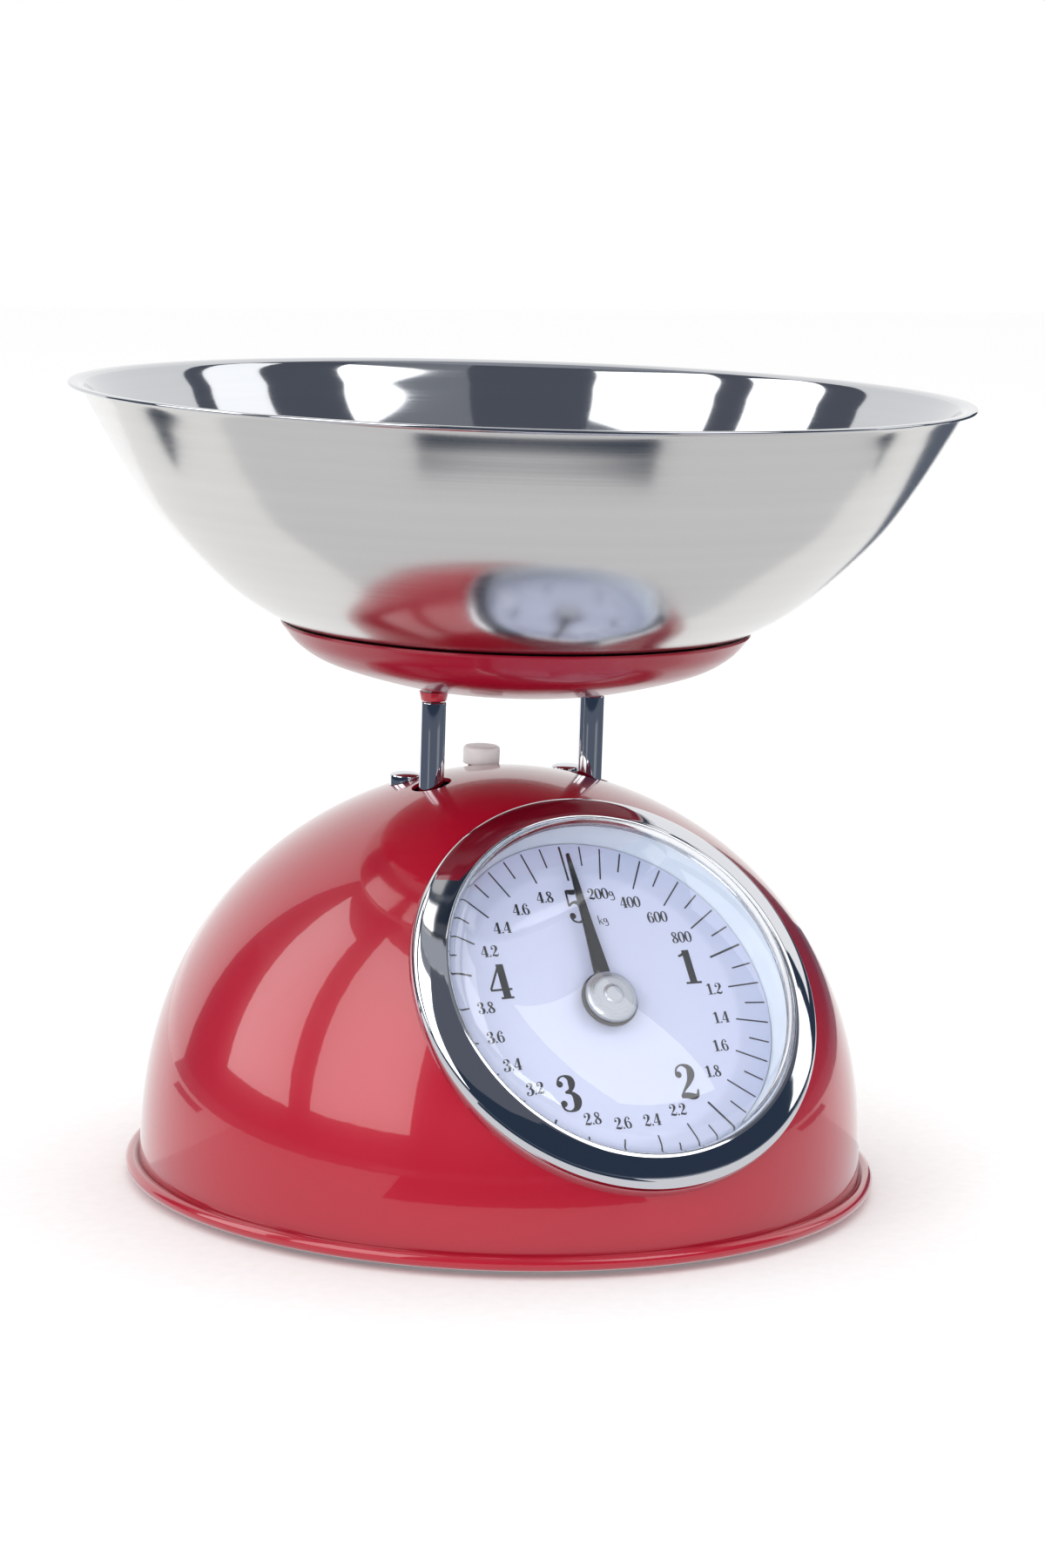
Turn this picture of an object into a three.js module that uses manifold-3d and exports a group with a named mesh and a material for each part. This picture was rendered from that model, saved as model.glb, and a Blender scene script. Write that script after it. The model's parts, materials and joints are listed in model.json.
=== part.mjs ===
// A mechanical kitchen scale: a red enamelled dome with a leaning dial in its front, two posts that
// carry a shallow dish and a lift-off steel bowl, and inside it a spring balance. The load carrier
// is held upright by two levers and drives the pointer through a rack and pinion.
// Millimetres, +Z up, dial towards -Y, origin on the table under the middle of the bowl.
import * as THREE from 'three';
import { mergeVertices } from 'three/addons/utils/BufferGeometryUtils.js';
import Module from 'manifold-3d';

const wasm = await Module();
wasm.setup();

// ---- Gaps ----
const SEAT_GAP = 0.3; // between fixed pieces that touch
const RUN_GAP = 0.3; // round a pin, shaft or screw that turns or slides
const TOOTH_GAP = 0.06; // taken off each flank of the rack and the pinion
const PAST = 1; // a cutter runs this far past a face, and joined pieces this far into each other

// ---- Housing ----
const TABLE_GAP = 2; // from the table to the dome's rolled bead
const DOME_RADIUS = 102;
const DOME_HEIGHT = 115;
const DOME_WALL = 1;
const DOME_PLAN_POWER = 1.87; // (r / radius)^plan + (z / height)^rise = 1
const DOME_RISE_POWER = 2.42;
const BEAD_RADIUS = 2;
const DOME_SIDES = 48;
const DOME_STEPS = 9;

const BASE_PLATE = 1.5;
const BASE_RECESS = 1.6; // the base plate sits this far up inside the bead
const BASE_RIM = 4;
const BASE_EDGE_GAP = 0.6;
const FOOT_RADIUS = 9;
const FOOT_CIRCLE = 80;
const FOOT_EDGE = 0.8;
const FOOT_DRAFT = 0.4;
const FOOT_STEM_RADIUS = 3;
const FOOT_CATCH = 0.9; // the stem's barb, wider than the stem
const FOOT_CATCH_HEIGHT = 2;
const FOOT_COUNT = 4;
const LUG_COUNT = 3;
const LUG_WIDTH = 12;
const LUG_HEIGHT = 12;
const LUG_REACH = 13;
const LUG_SHEET = 1.5;
const LUG_UPRIGHT = 3; // from the dome's surface in to the upright's inner face
const BASE_SCREW_INSET = 8; // from the dome's wall to the screw's axis
const BASE_SCREW_RADIUS = 1.5;
const BASE_SCREW_HEAD_RADIUS = 3;
const BASE_SCREW_HEAD = 1.6;
const BASE_SCREW_END = 3; // past the lug

// ---- Dial ----
const DIAL_TIP = THREE.MathUtils.degToRad(0.78); // the dial leans this much more than the dome behind it
const DIAL_RADIUS = 49;
const DIAL_SHEET = 1.1;
const CUP_WALL = 1;
const CUP_FLOOR_BACK = 2.4; // the cup's back, behind the dial face
const CUP_RIM = 12;
const LENS_FLANGE = 1.2;
const LENS_RISE = 12;
const LENS_WALL = 1.4;
const LENS_POWER = 2.5;
const LENS_LAP = 0.4; // the lens's dome is this much wider than the dial
const LENS_STEPS = 5;
const BEZEL_SLEEVE = 1;
const BEZEL_REACH = 6.5; // the bezel's outer edge, past the dome's opening
const BEZEL_SEAT = 7.5; // from the dial face up to the dome at the bezel's upper edge
const BEZEL_EDGE = 0.6; // the bezel's thickness there
// Inward from the bezel's outer edge and up from where it meets the dome
const BEZEL_OUTLINE = [[0, -0.8], [0.5, 0], [2.8, 3.1], [4.8, 5.4], [6.4, 6.5], [7.4, 6.7]];
const BEZEL_LIP = 0.6;
const BEZEL_BEAD_GAP = 15.5; // from the dome's bead up to the bezel
const SLEEVE_BOTTOM = 3.5; // above the dial face
const DIAL_SIDES = 40;

// ---- Pointer and movement ----
const POINTER_LENGTH = 44;
const POINTER_HEIGHT = 3; // its back, in front of the dial face
const POINTER_SHEET = 1;
const HUB_RADIUS = 8;
const POINTER_ROOT_WIDTH = 4.6;
const POINTER_WAIST_WIDTH = 2.8;
const POINTER_WAIST = 22;
const POINTER_TIP_WIDTH = 0.9;
const CAP_OUTLINE = [[7.4, 0], [7.4, 0.9], [6.6, 1.6], [5, 2.2], [2.4, 2.2], [2, 2.6]];
const SHAFT_RADIUS = 1;
const PINION_DEPTH = 24; // from the dial face back to the middle of the pinion
const PINION_LENGTH = 4;
const PINION_TEETH = 10;
const TOOTH_MODULE = 0.4;
const PRESSURE_ANGLE = THREE.MathUtils.degToRad(20);
const PINION_ADDENDUM = 0.34;
const RACK_ADDENDUM = 0.24;
const TOOTH_CLEARANCE = 0.1;
const RACK_DEPTH = 3;
const RACK_BACK = 3.5;
const RACK_BELOW = 4; // rack below the pinion's axis at rest
const RACK_ARM_HEIGHT = 4;
const RACK_SCREW_REACH = 6; // from the arm to each screw beside it
const BRACKET_SHEET = 1.5;
const BRACKET_WIDTH = 8;
const BRACKET_RACK_GAP = 0.4; // between its legs and the rack that leans past them
const BRACKET_WEB_X = 13;
const BRACKET_FOOT = 13;
const BRACKET_FOOT_EDGE = 3; // from its screws out to the edge
const MOVEMENT_SCREW_Y = 5;
const BUSH_RADIUS = 2.6;
const BUSH_FLANGE_RADIUS = 3.6;
const BUSH_LENGTH = 2.2;
const BUSH_FLANGE = 1;
const SHAFT_END = 0.5; // past the rear bush
const SMALL_SCREW_RADIUS = 1.3;
const SMALL_SCREW_HEAD_RADIUS = 2.4;
const SMALL_SCREW_HEAD = 1.4;
const SMALL_SCREW_EDGE = 3; // from a small screw's axis to the sheet's edge

// ---- Platform ----
const DISH_CLEARANCE = 23; // from the dome's top to the dish
const DISH_WALL = 1;
const DISH_OUTLINE = [[22, 0], [34.9, 2], [52.4, 7], [60.6, 11.6], [65.3, 17]];
const POST_SPACING = 49.2;
const POST_RADIUS = 3.5;
const POST_HOLE_GAP = 2;
const BOSS_HEIGHT = 2.6;
const BOSS_TOP_RADIUS = 4.15;
const POST_SCREW_RADIUS = 2;
const POST_SCREW_BORE = 9; // how deep the posts are bored at each end
const POST_SCREW_GRIP = 6; // how far each screw reaches into a post
const DISH_SCREW_HEAD_RADIUS = 3.7;
const DISH_SCREW_HEAD = 2.2;
const CARRIER_SHEET = 2;
const CARRIER_HEIGHT = 40;
const CARRIER_DROP = 25.6; // from the frame plate's top down to the carrier's
const CARRIER_DEPTH = 14;
const CARRIER_WING = 4.4; // beyond the posts
const CARRIER_SCREW_HEAD_RADIUS = 3;
const CARRIER_SCREW_HEAD = 2;
const CARRIER_TOP_INSET = 1; // its top sheet is this much shallower on each side
const CARRIER_FLOOR_EDGE = 2; // behind the springs
const LEVER_SCREW_GAP = 1.8; // between the lever arms and the heads of the carrier's screws

// ---- Levers ----
const LEVER_LENGTH = 45;
const LEVER_SHEET = 2;
const LEVER_HALF_HEIGHT = 3.6;
const LEVER_GAP = 0.8; // between the side plates, the lever arms and the frame's ears
const PIN_RADIUS = 1.8;
const PIN_END = 0.6; // past the outer sheet
const UPPER_PIN_DROP = 7.5; // from the carrier's top to its upper pin
const LOWER_PIN_RISE = 10; // from the carrier's bottom to its lower pin
const CROSSBAR_FROM_PIVOT = 10;
const CROSSBAR_WIDTH = 6;

// ---- Mechanism frame ----
const FRAME_SHEET = 2;
const FRAME_HEADROOM = 1.5; // between the frame plate's rear corners and the dome
const FRAME_HALF_WIDTH = 30;
const FRAME_FRONT_Y = 8.5;
const FRAME_BEND_Y = 27;
const FRAME_SHOULDER = 21; // how far the sheet slopes down behind the plate
const EAR_HALF_HEIGHT = 5;
const FRAME_SCREW_X = 25.4;
const FRAME_SCREW_Y = 15.6;
const FRAME_SCREW_RADIUS = 2;
const FRAME_SCREW_HEAD_RADIUS = 4.4;
const FRAME_SCREW_HEAD = 2.6;
const SPACER_RADIUS = 5;
const NUT_RADIUS = 3.8;
const NUT_HEIGHT = 3;
const SCREW_PAST_NUT = 1;

// ---- Zero adjuster and springs ----
const KNOB_Y = 19.5;
const KNOB_RADIUS = 5.3;
const KNOB_HEIGHT = 4.2;
const KNOB_EDGE = 1.1;
const KNOB_BORE_DEPTH = 1.6; // from its top down to the bore
const KNOB_GAP = 0.4; // between the knob and the dome
const ZERO_SCREW_RADIUS = 2.5;
const ZERO_COLLAR = 1.5; // wider than the screw
const ZERO_COLLAR_HEIGHT = 2;
const ZERO_SCREW_END = 3; // below the bridge
const BUSH_WALL = 1.2;
const BRIDGE_HEIGHT = 3;
const BRIDGE_HALF_LENGTH = 15;
const BRIDGE_WIDTH = 8;
const BRIDGE_DROP = 12; // from the frame's plate down to the bridge
const BRIDGE_COLLAR = 2; // the collar's wall, and its height above the bridge
const SPRING_INSET = 6; // from the carrier's side in to each spring
const SPRING_RADIUS = 3.05;
const SPRING_WIRE = 0.45;
const SPRING_TURNS = 8;
const SPRING_STEPS_PER_TURN = 7;
const STUD_RADIUS = 2.1;
const STUD_HEIGHT = 5;

// ---- Bowl ----
const BOWL_WALL = 1;
const BOWL_FLOOR_RADIUS = 42;
const BOWL_OUTLINE = [
  [54, 3.7], [63.6, 8.6], [77.5, 16.8], [89.2, 26.9], [100.8, 39.2], [109.9, 52.5], [117.6, 65.7],
  [120.8, 71.4],
];
const BOWL_LIP = [[123, 72.5], [125, 72.6]];
const BOWL_SEAT_GAP = 0.4;
const BOWL_SIDES = 48;
const DISH_SIDES = 36;
const HUB_SIDES = 16;
const SMALL_SIDES = 8; // round pieces and holes under about 10 mm across

// ---- Helpers ----
const UP = new THREE.Vector3(0, 0, 1);

function toSolid(geometry) {
  const bare = geometry.clone();
  bare.deleteAttribute('normal');
  bare.deleteAttribute('uv');
  const merged = mergeVertices(bare, 1e-4);
  const corners = merged.index.array;
  const faces = [];
  for (let i = 0; i < corners.length; i += 3) {
    const [a, b, c] = corners.subarray(i, i + 3);
    if (a !== b && b !== c && c !== a) faces.push(a, b, c);
  }
  const vertProperties = merged.attributes.position.array;
  return new wasm.Manifold(new wasm.Mesh({ numProp: 3, vertProperties, triVerts: new Uint32Array(faces) }));
}

function toGeometry(manifold) {
  const mesh = manifold.getMesh();
  const geometry = new THREE.BufferGeometry();
  geometry.setAttribute('position', new THREE.BufferAttribute(mesh.vertProperties, 3));
  geometry.setIndex(new THREE.BufferAttribute(mesh.triVerts, 1));
  geometry.computeVertexNormals();
  return geometry;
}

function join(...geometries) {
  return toGeometry(geometries.map(toSolid).reduce((whole, next) => whole.add(next)));
}

function cut(geometry, ...cutters) {
  return toGeometry(cutters.map(toSolid).reduce((rest, cutter) => rest.subtract(cutter), toSolid(geometry)));
}

function common(geometry, other) {
  return toGeometry(toSolid(geometry).intersect(toSolid(other)));
}

// A solid of revolution about Z. The profile runs anticlockwise with r to the right and z up.
function revolve(profile, sides) {
  const points = profile.map(([r, z]) => new THREE.Vector2(r, z));
  return new THREE.LatheGeometry(points, sides).rotateX(Math.PI / 2);
}

function rod(radius, bottom, top, sides = SMALL_SIDES) {
  return revolve([[0, bottom], [radius, bottom], [radius, top], [0, top]], sides);
}

function tube(inner, outer, bottom, top, sides = SMALL_SIDES) {
  return revolve([[inner, bottom], [outer, bottom], [outer, top], [inner, top], [inner, bottom]], sides);
}

function box(x, y, z) {
  const size = [x, y, z].map(([low, high]) => high - low);
  const middle = [x, y, z].map(([low, high]) => (high + low) / 2);
  return new THREE.BoxGeometry(...size).translate(...middle);
}

// A cylinder along X.
function crossRod(radius, halfLength, y, z) {
  return rod(radius, -halfLength, halfLength).rotateY(Math.PI / 2).translate(0, y, z);
}

// A shape drawn in Y and Z, given a width along X.
function sideOn(shape, fromX, toX, curveSegments = 5) {
  const flat = new THREE.ExtrudeGeometry(shape, { depth: toX - fromX, bevelEnabled: false, curveSegments });
  const turn = new THREE.Matrix4().makeBasis(new THREE.Vector3(0, 1, 0), UP, new THREE.Vector3(1, 0, 0));
  return flat.applyMatrix4(turn).translate(fromX, 0, 0);
}

// A pan-head screw with its seat at z 0 and its head above.
function panScrew(radius, length, headRadius, headHeight) {
  return revolve([
    [0, -length], [radius, -length], [radius, 0], [headRadius, 0], [headRadius, headHeight / 2],
    [headRadius * 0.7, headHeight], [0, headHeight],
  ], SMALL_SIDES);
}

function sidesOf(x) {
  return [['left', -x], ['right', x]];
}

// The point moved sideways from the line, to the left of its direction.
function beside(line, distance) {
  return line.map(([r, z], i) => {
    const [r0, z0] = line[Math.max(i - 1, 0)];
    const [r1, z1] = line[Math.min(i + 1, line.length - 1)];
    const length = Math.hypot(r1 - r0, z1 - z0);
    return [r - ((z1 - z0) / length) * distance, z + ((r1 - r0) / length) * distance];
  });
}

function smoothLine(points, steps) {
  const curve = new THREE.SplineCurve(points.map(([r, z]) => new THREE.Vector2(r, z)));
  return curve.getPoints(steps).map((p) => [p.x, p.y]);
}

function heightAlong(line, radius) {
  const i = line.findIndex(([r]) => r >= radius);
  const [[r0, z0], [r1, z1]] = [line[i - 1], line[i]];
  return z0 + ((radius - r0) / (r1 - r0)) * (z1 - z0);
}

const finishes = {
  redEnamel: { color: 0xc01f33, roughness: 0.12, metalness: 0 },
  satinSteel: { color: 0xb9bcc0, roughness: 0.35, metalness: 1 },
  chrome: { color: 0xd9dce0, roughness: 0.05, metalness: 1 },
  whiteEnamel: { color: 0xe9ebf4, roughness: 0.5, metalness: 0 },
  clearAcrylic: { color: 0xf4f8fa, roughness: 0.03, metalness: 0, transparent: true, opacity: 0.3 },
  blackEnamel: { color: 0x1c1d24, roughness: 0.4, metalness: 0 },
  spunAluminium: { color: 0xa9acb2, roughness: 0.3, metalness: 1 },
  milkPlastic: { color: 0xe6e8ee, roughness: 0.25, metalness: 0 },
  zincSteel: { color: 0x9a9c9f, roughness: 0.45, metalness: 1 },
  springSteel: { color: 0x7d8085, roughness: 0.3, metalness: 1 },
  brass: { color: 0xb9974e, roughness: 0.3, metalness: 1 },
  blackRubber: { color: 0x222222, roughness: 0.85, metalness: 0 },
};

function piece(name, geometry, finish) {
  const mesh = new THREE.Mesh(geometry, new THREE.MeshStandardMaterial(finishes[finish]));
  mesh.name = name;
  return mesh;
}

// ---- Dome ----
const domeTop = TABLE_GAP + DOME_HEIGHT;

function domeLine(radius, height, steps = DOME_STEPS) {
  return Array.from({ length: steps + 1 }, (_, i) => {
    const angle = (i / steps) * (Math.PI / 2);
    const r = i === steps ? 0 : radius * Math.cos(angle) ** (2 / DOME_PLAN_POWER);
    return [r, TABLE_GAP + height * Math.sin(angle) ** (2 / DOME_RISE_POWER)];
  });
}

// Everything inside the dome's outer surface, moved out by `grow`.
function domeSolid(grow) {
  return revolve([[0, TABLE_GAP], ...domeLine(DOME_RADIUS + grow, DOME_HEIGHT + grow)], DOME_SIDES);
}

function domeHeightAt(radius) {
  const share = 1 - (radius / DOME_RADIUS) ** DOME_PLAN_POWER;
  return TABLE_GAP + DOME_HEIGHT * share ** (1 / DOME_RISE_POWER);
}

function bisect(low, high, isLow) {
  let [from, to] = [low, high];
  for (let i = 0; i < 40; i += 1) {
    const middle = (from + to) / 2;
    if (isLow(middle)) from = middle;
    else to = middle;
  }
  return from;
}

function insideDome(y, z) {
  const rise = (z - TABLE_GAP) / DOME_HEIGHT;
  return (Math.abs(y) / DOME_RADIUS) ** DOME_PLAN_POWER + rise ** DOME_RISE_POWER < 1;
}

// ---- Dial frame: local +Z out of the dial, local +Y up its face ----
const cupRadius = DIAL_RADIUS + SEAT_GAP + CUP_WALL;
const sleeveRadius = cupRadius + SEAT_GAP + BEZEL_SLEEVE;
const openingRadius = sleeveRadius + SEAT_GAP;
const bezelRadius = openingRadius + BEZEL_REACH;
const bezelEdgeHeight = BEZEL_SEAT + BEZEL_EDGE;

// The dial's lean and middle when its axis leaves the dome at `angle` up the front meridian. The face
// lies so deep that the bezel's upper edge meets the dome.
function dialSeat(angle) {
  const radius = DOME_RADIUS * Math.cos(angle) ** (2 / DOME_PLAN_POWER);
  const rise = (DOME_RISE_POWER / DOME_HEIGHT) * Math.sin(angle) ** (2 - 2 / DOME_RISE_POWER);
  const plan = (DOME_PLAN_POWER / DOME_RADIUS) * Math.cos(angle) ** (2 - 2 / DOME_PLAN_POWER);
  const lean = Math.atan2(rise, plan) + DIAL_TIP;
  const out = new THREE.Vector3(0, -Math.cos(lean), Math.sin(lean));
  const up = new THREE.Vector3(0, Math.sin(lean), Math.cos(lean));
  const surface = new THREE.Vector3(0, -radius, domeHeightAt(radius));
  const edge = surface.clone().addScaledVector(up, bezelRadius);
  const fall = bisect(0, bezelRadius, (depth) => {
    const point = edge.clone().addScaledVector(out, -depth);
    return !insideDome(point.y, point.z);
  });
  const centre = surface.addScaledVector(out, -fall - BEZEL_SEAT);
  const lowest = centre.clone().addScaledVector(up, -bezelRadius).addScaledVector(out, bezelEdgeHeight).z;
  return { lean, out, centre, lowest, depth: fall + BEZEL_SEAT };
}

const beadTop = TABLE_GAP + 2 * BEAD_RADIUS;
const dialAngle = bisect(0, Math.PI / 2, (angle) => dialSeat(angle).lowest < beadTop + BEZEL_BEAD_GAP);
const { lean: dialLean, out: dialOut, centre: dialCentre, depth: dialDepth } = dialSeat(dialAngle);
const dialMatrix = new THREE.Matrix4()
  .makeRotationX(Math.PI / 2 - dialLean)
  .setPosition(dialCentre);
const dialInverse = dialMatrix.clone().invert();

// ---- Levels of the mechanism, from the top down ----
const frameScrewCircle = Math.hypot(FRAME_SCREW_X, FRAME_SCREW_Y);
const frameCorner = Math.hypot(FRAME_HALF_WIDTH, FRAME_BEND_Y);
const framePlateTop = domeHeightAt(frameCorner) - DOME_WALL - FRAME_HEADROOM;
const framePlateBottom = framePlateTop - FRAME_SHEET;
const carrierTop = framePlateTop - CARRIER_DROP;
const carrierBottom = carrierTop - CARRIER_HEIGHT;
const pitchRadius = (PINION_TEETH * TOOTH_MODULE) / 2;
const travel = (2 * Math.PI * pitchRadius) / Math.cos(dialLean); // one turn of the pointer
const leverSwing = Math.asin(travel / 2 / LEVER_LENGTH); // above level at rest, below it at full load
const leverPivotY = LEVER_LENGTH * (1 + Math.cos(leverSwing)) / 2;
const leverArmOuter = POST_SPACING / 2 - CARRIER_SCREW_HEAD_RADIUS - LEVER_SCREW_GAP;
const leverArmInner = leverArmOuter - LEVER_SHEET;
const carrierHalf = leverArmInner - LEVER_GAP;
const springX = carrierHalf - SPRING_INSET;
const earInner = leverArmOuter + LEVER_GAP;
const earOuter = earInner + FRAME_SHEET;
const carrierPins = { upper: carrierTop - UPPER_PIN_DROP, lower: carrierBottom + LOWER_PIN_RISE };
const framePins = {
  upper: carrierPins.upper - travel / 2,
  lower: carrierPins.lower - travel / 2,
};
const pinHoleRadius = PIN_RADIUS + RUN_GAP;

// ---- Dish and bowl outlines ----
const dishFloor = domeTop + DISH_CLEARANCE;
const dishUnderside = [[0, 0], ...smoothLine(DISH_OUTLINE, 7)];
const dishInside = beside(dishUnderside, DISH_WALL);
const bowlWall = smoothLine([[BOWL_FLOOR_RADIUS, 0], ...BOWL_OUTLINE], 8);
const bowlOutside = [[0, 0], ...bowlWall, ...BOWL_LIP];
const [dishLipRadius, dishLipHeight] = dishInside.at(-1);
const dishScrewEdge = POST_SPACING / 2 + DISH_SCREW_HEAD_RADIUS;
const dishScrewSeat = dishFloor + heightAlong(dishInside, dishScrewEdge) + SEAT_GAP;
const bowlFloor = dishFloor + dishLipHeight + BOWL_SEAT_GAP - heightAlong(bowlWall, dishLipRadius);

// ---- Housing pieces ----
function domeHousing() {
  const outer = domeLine(DOME_RADIUS, DOME_HEIGHT).slice(1);
  const inner = domeLine(DOME_RADIUS - DOME_WALL, DOME_HEIGHT - DOME_WALL).reverse();
  const beadMiddle = [DOME_RADIUS + BEAD_RADIUS, TABLE_GAP + BEAD_RADIUS];
  const bead = [-90, -45, 0, 45, 90, 145].map((degrees) => {
    const angle = THREE.MathUtils.degToRad(degrees);
    return [beadMiddle[0] + BEAD_RADIUS * Math.cos(angle), beadMiddle[1] + BEAD_RADIUS * Math.sin(angle)];
  });
  const shell = revolve([...inner, ...bead, ...outer], DOME_SIDES);
  const opening = rod(openingRadius, 0, dialDepth * 2, DIAL_SIDES).applyMatrix4(dialMatrix);
  const above = [framePlateTop, domeTop + PAST];
  const holes = sidesOf(1).flatMap(([, side]) => [
    rod(POST_RADIUS + POST_HOLE_GAP, ...above).translate((side * POST_SPACING) / 2, 0, 0),
    rod(FRAME_SCREW_RADIUS + SEAT_GAP, ...above).translate(side * FRAME_SCREW_X, FRAME_SCREW_Y, 0),
  ]);
  const bushHole = rod(zeroBushRadius + SEAT_GAP, ...above).translate(0, KNOB_Y, 0);
  return cut(shell, opening, bushHole, ...holes);
}

const basePlateBottom = TABLE_GAP + BASE_RECESS;
const basePlateTop = basePlateBottom + BASE_PLATE;
const basePlateRadius = DOME_RADIUS - DOME_WALL - BASE_EDGE_GAP;
const baseScrewCircle = DOME_RADIUS - DOME_WALL - BASE_SCREW_INSET;
const lugFloor = basePlateTop + BASE_RIM + SEAT_GAP;

function around(count, radius, firstDegrees) {
  return Array.from({ length: count }, (_, i) => {
    const angle = THREE.MathUtils.degToRad(firstDegrees) + (i * 2 * Math.PI) / count;
    return { angle, x: radius * Math.cos(angle), y: radius * Math.sin(angle) };
  });
}

const feet = around(FOOT_COUNT, FOOT_CIRCLE, 45);
const lugs = around(LUG_COUNT, baseScrewCircle, 90);

function basePlate() {
  const rimTop = basePlateTop + BASE_RIM;
  const pan = revolve([
    [0, basePlateBottom], [basePlateRadius, basePlateBottom], [basePlateRadius, rimTop],
    [basePlateRadius - BASE_PLATE, rimTop], [basePlateRadius - BASE_PLATE, basePlateTop], [0, basePlateTop],
  ], DOME_SIDES);
  const through = [basePlateBottom - PAST, basePlateTop + PAST];
  const stems = feet.map(({ x, y }) => rod(FOOT_STEM_RADIUS + SEAT_GAP, ...through).translate(x, y, 0));
  const screws = lugs.map(({ x, y }) => rod(BASE_SCREW_RADIUS + SEAT_GAP, ...through).translate(x, y, 0));
  return cut(pan, ...stems, ...screws);
}

function foot() {
  const shoulder = basePlateBottom - SEAT_GAP;
  const catchBottom = basePlateTop + SEAT_GAP;
  return revolve([
    [0, 0], [FOOT_RADIUS - FOOT_EDGE, 0], [FOOT_RADIUS, FOOT_EDGE], [FOOT_RADIUS - FOOT_DRAFT, shoulder],
    [FOOT_STEM_RADIUS, shoulder], [FOOT_STEM_RADIUS, catchBottom],
    [FOOT_STEM_RADIUS + FOOT_CATCH, catchBottom], [FOOT_STEM_RADIUS, catchBottom + FOOT_CATCH_HEIGHT],
    [0, catchBottom + FOOT_CATCH_HEIGHT],
  ], HUB_SIDES);
}

// An angle spot-welded inside the dome's skirt, drawn at angle 0 and turned into place.
function baseLug(angle) {
  const wall = DOME_RADIUS;
  const tip = baseScrewCircle - LUG_REACH / 2;
  const half = LUG_WIDTH / 2;
  const foot = box([tip, wall], [-half, half], [lugFloor, lugFloor + LUG_SHEET]);
  const upright = box([wall - LUG_UPRIGHT, wall], [-half, half], [lugFloor, lugFloor + LUG_HEIGHT]);
  const screwHole = rod(BASE_SCREW_RADIUS + SEAT_GAP, lugFloor - PAST, lugFloor + LUG_SHEET + PAST);
  const angleIron = cut(join(foot, upright), screwHole.translate(baseScrewCircle, 0, 0));
  return common(angleIron, domeSolid(-DOME_WALL - SEAT_GAP)).rotateZ(angle);
}

function baseScrew() {
  const seat = basePlateBottom - SEAT_GAP;
  const length = lugFloor + LUG_SHEET + BASE_SCREW_END - seat;
  const screw = panScrew(BASE_SCREW_RADIUS, length, BASE_SCREW_HEAD_RADIUS, BASE_SCREW_HEAD);
  return screw.rotateX(Math.PI).translate(0, 0, seat);
}

// ---- Dial pieces, in the dial frame ----
const cupFloorFront = -DIAL_SHEET - SEAT_GAP;
const movementScrewX = -BRACKET_WEB_X - BRACKET_FOOT / 2;
const movementScrews = [['upper', MOVEMENT_SCREW_Y], ['lower', -MOVEMENT_SCREW_Y]];

function dialCup() {
  const inner = cupRadius - CUP_WALL;
  const pan = revolve([
    [0, -CUP_FLOOR_BACK], [cupRadius, -CUP_FLOOR_BACK], [cupRadius, CUP_RIM], [inner, CUP_RIM],
    [inner, cupFloorFront], [0, cupFloorFront],
  ], DIAL_SIDES);
  const shaftHole = rod(SHAFT_RADIUS * 2.5, -CUP_FLOOR_BACK - PAST, 0);
  const screwHoles = movementScrews.map(([, y]) => {
    return rod(SMALL_SCREW_RADIUS + SEAT_GAP, -CUP_FLOOR_BACK - PAST, 0).translate(movementScrewX, y, 0);
  });
  return cut(pan, shaftHole, ...screwHoles);
}

function dialPlate() {
  return tube(SHAFT_RADIUS * 2, DIAL_RADIUS, -DIAL_SHEET, 0, DIAL_SIDES);
}

const lensFlangeBottom = CUP_RIM + SEAT_GAP;
const lensFlangeTop = lensFlangeBottom + LENS_FLANGE;
const lensEdge = DIAL_RADIUS + LENS_LAP;

function capLine(radius, rise, base) {
  return Array.from({ length: LENS_STEPS + 1 }, (_, i) => {
    const angle = (i / LENS_STEPS) * (Math.PI / 2);
    const r = i === LENS_STEPS ? 0 : radius * Math.cos(angle) ** (2 / LENS_POWER);
    return [r, base + rise * Math.sin(angle) ** (2 / LENS_POWER)];
  });
}

function lens() {
  const inner = capLine(lensEdge - LENS_WALL, LENS_RISE - LENS_WALL, lensFlangeBottom).reverse();
  const outer = capLine(lensEdge, LENS_RISE, lensFlangeTop);
  return revolve([...inner, [cupRadius, lensFlangeBottom], [cupRadius, lensFlangeTop], ...outer], DIAL_SIDES);
}

function bezel() {
  const sleeveInner = cupRadius + SEAT_GAP;
  const lipBottom = lensFlangeTop + SEAT_GAP;
  const lipInner = lensEdge + SEAT_GAP;
  const ring = revolve([
    [sleeveInner, 0], [bezelRadius, 0],
    ...BEZEL_OUTLINE.map(([inward, rise]) => [bezelRadius - inward, bezelEdgeHeight + rise]),
    [lipInner, lipBottom + BEZEL_LIP], [lipInner, lipBottom], [sleeveInner, lipBottom], [sleeveInner, 0],
  ], DIAL_SIDES);
  const dome = domeSolid(SEAT_GAP).applyMatrix4(dialInverse);
  const sleeveRoom = rod(sleeveRadius, SLEEVE_BOTTOM, 2 * CUP_RIM, DIAL_SIDES);
  return cut(ring, cut(dome, sleeveRoom));
}

// The legs of the bracket behind the dial cup stand as far from the pinion as the leaning rack needs.
const legReach = BRACKET_WIDTH / 2 + BRACKET_RACK_GAP;
const legOffset = legReach * Math.tan(dialLean) + RACK_DEPTH / 2 / Math.cos(dialLean);
const legDepths = [-PINION_DEPTH + legOffset, -PINION_DEPTH - legOffset - BRACKET_SHEET];

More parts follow.
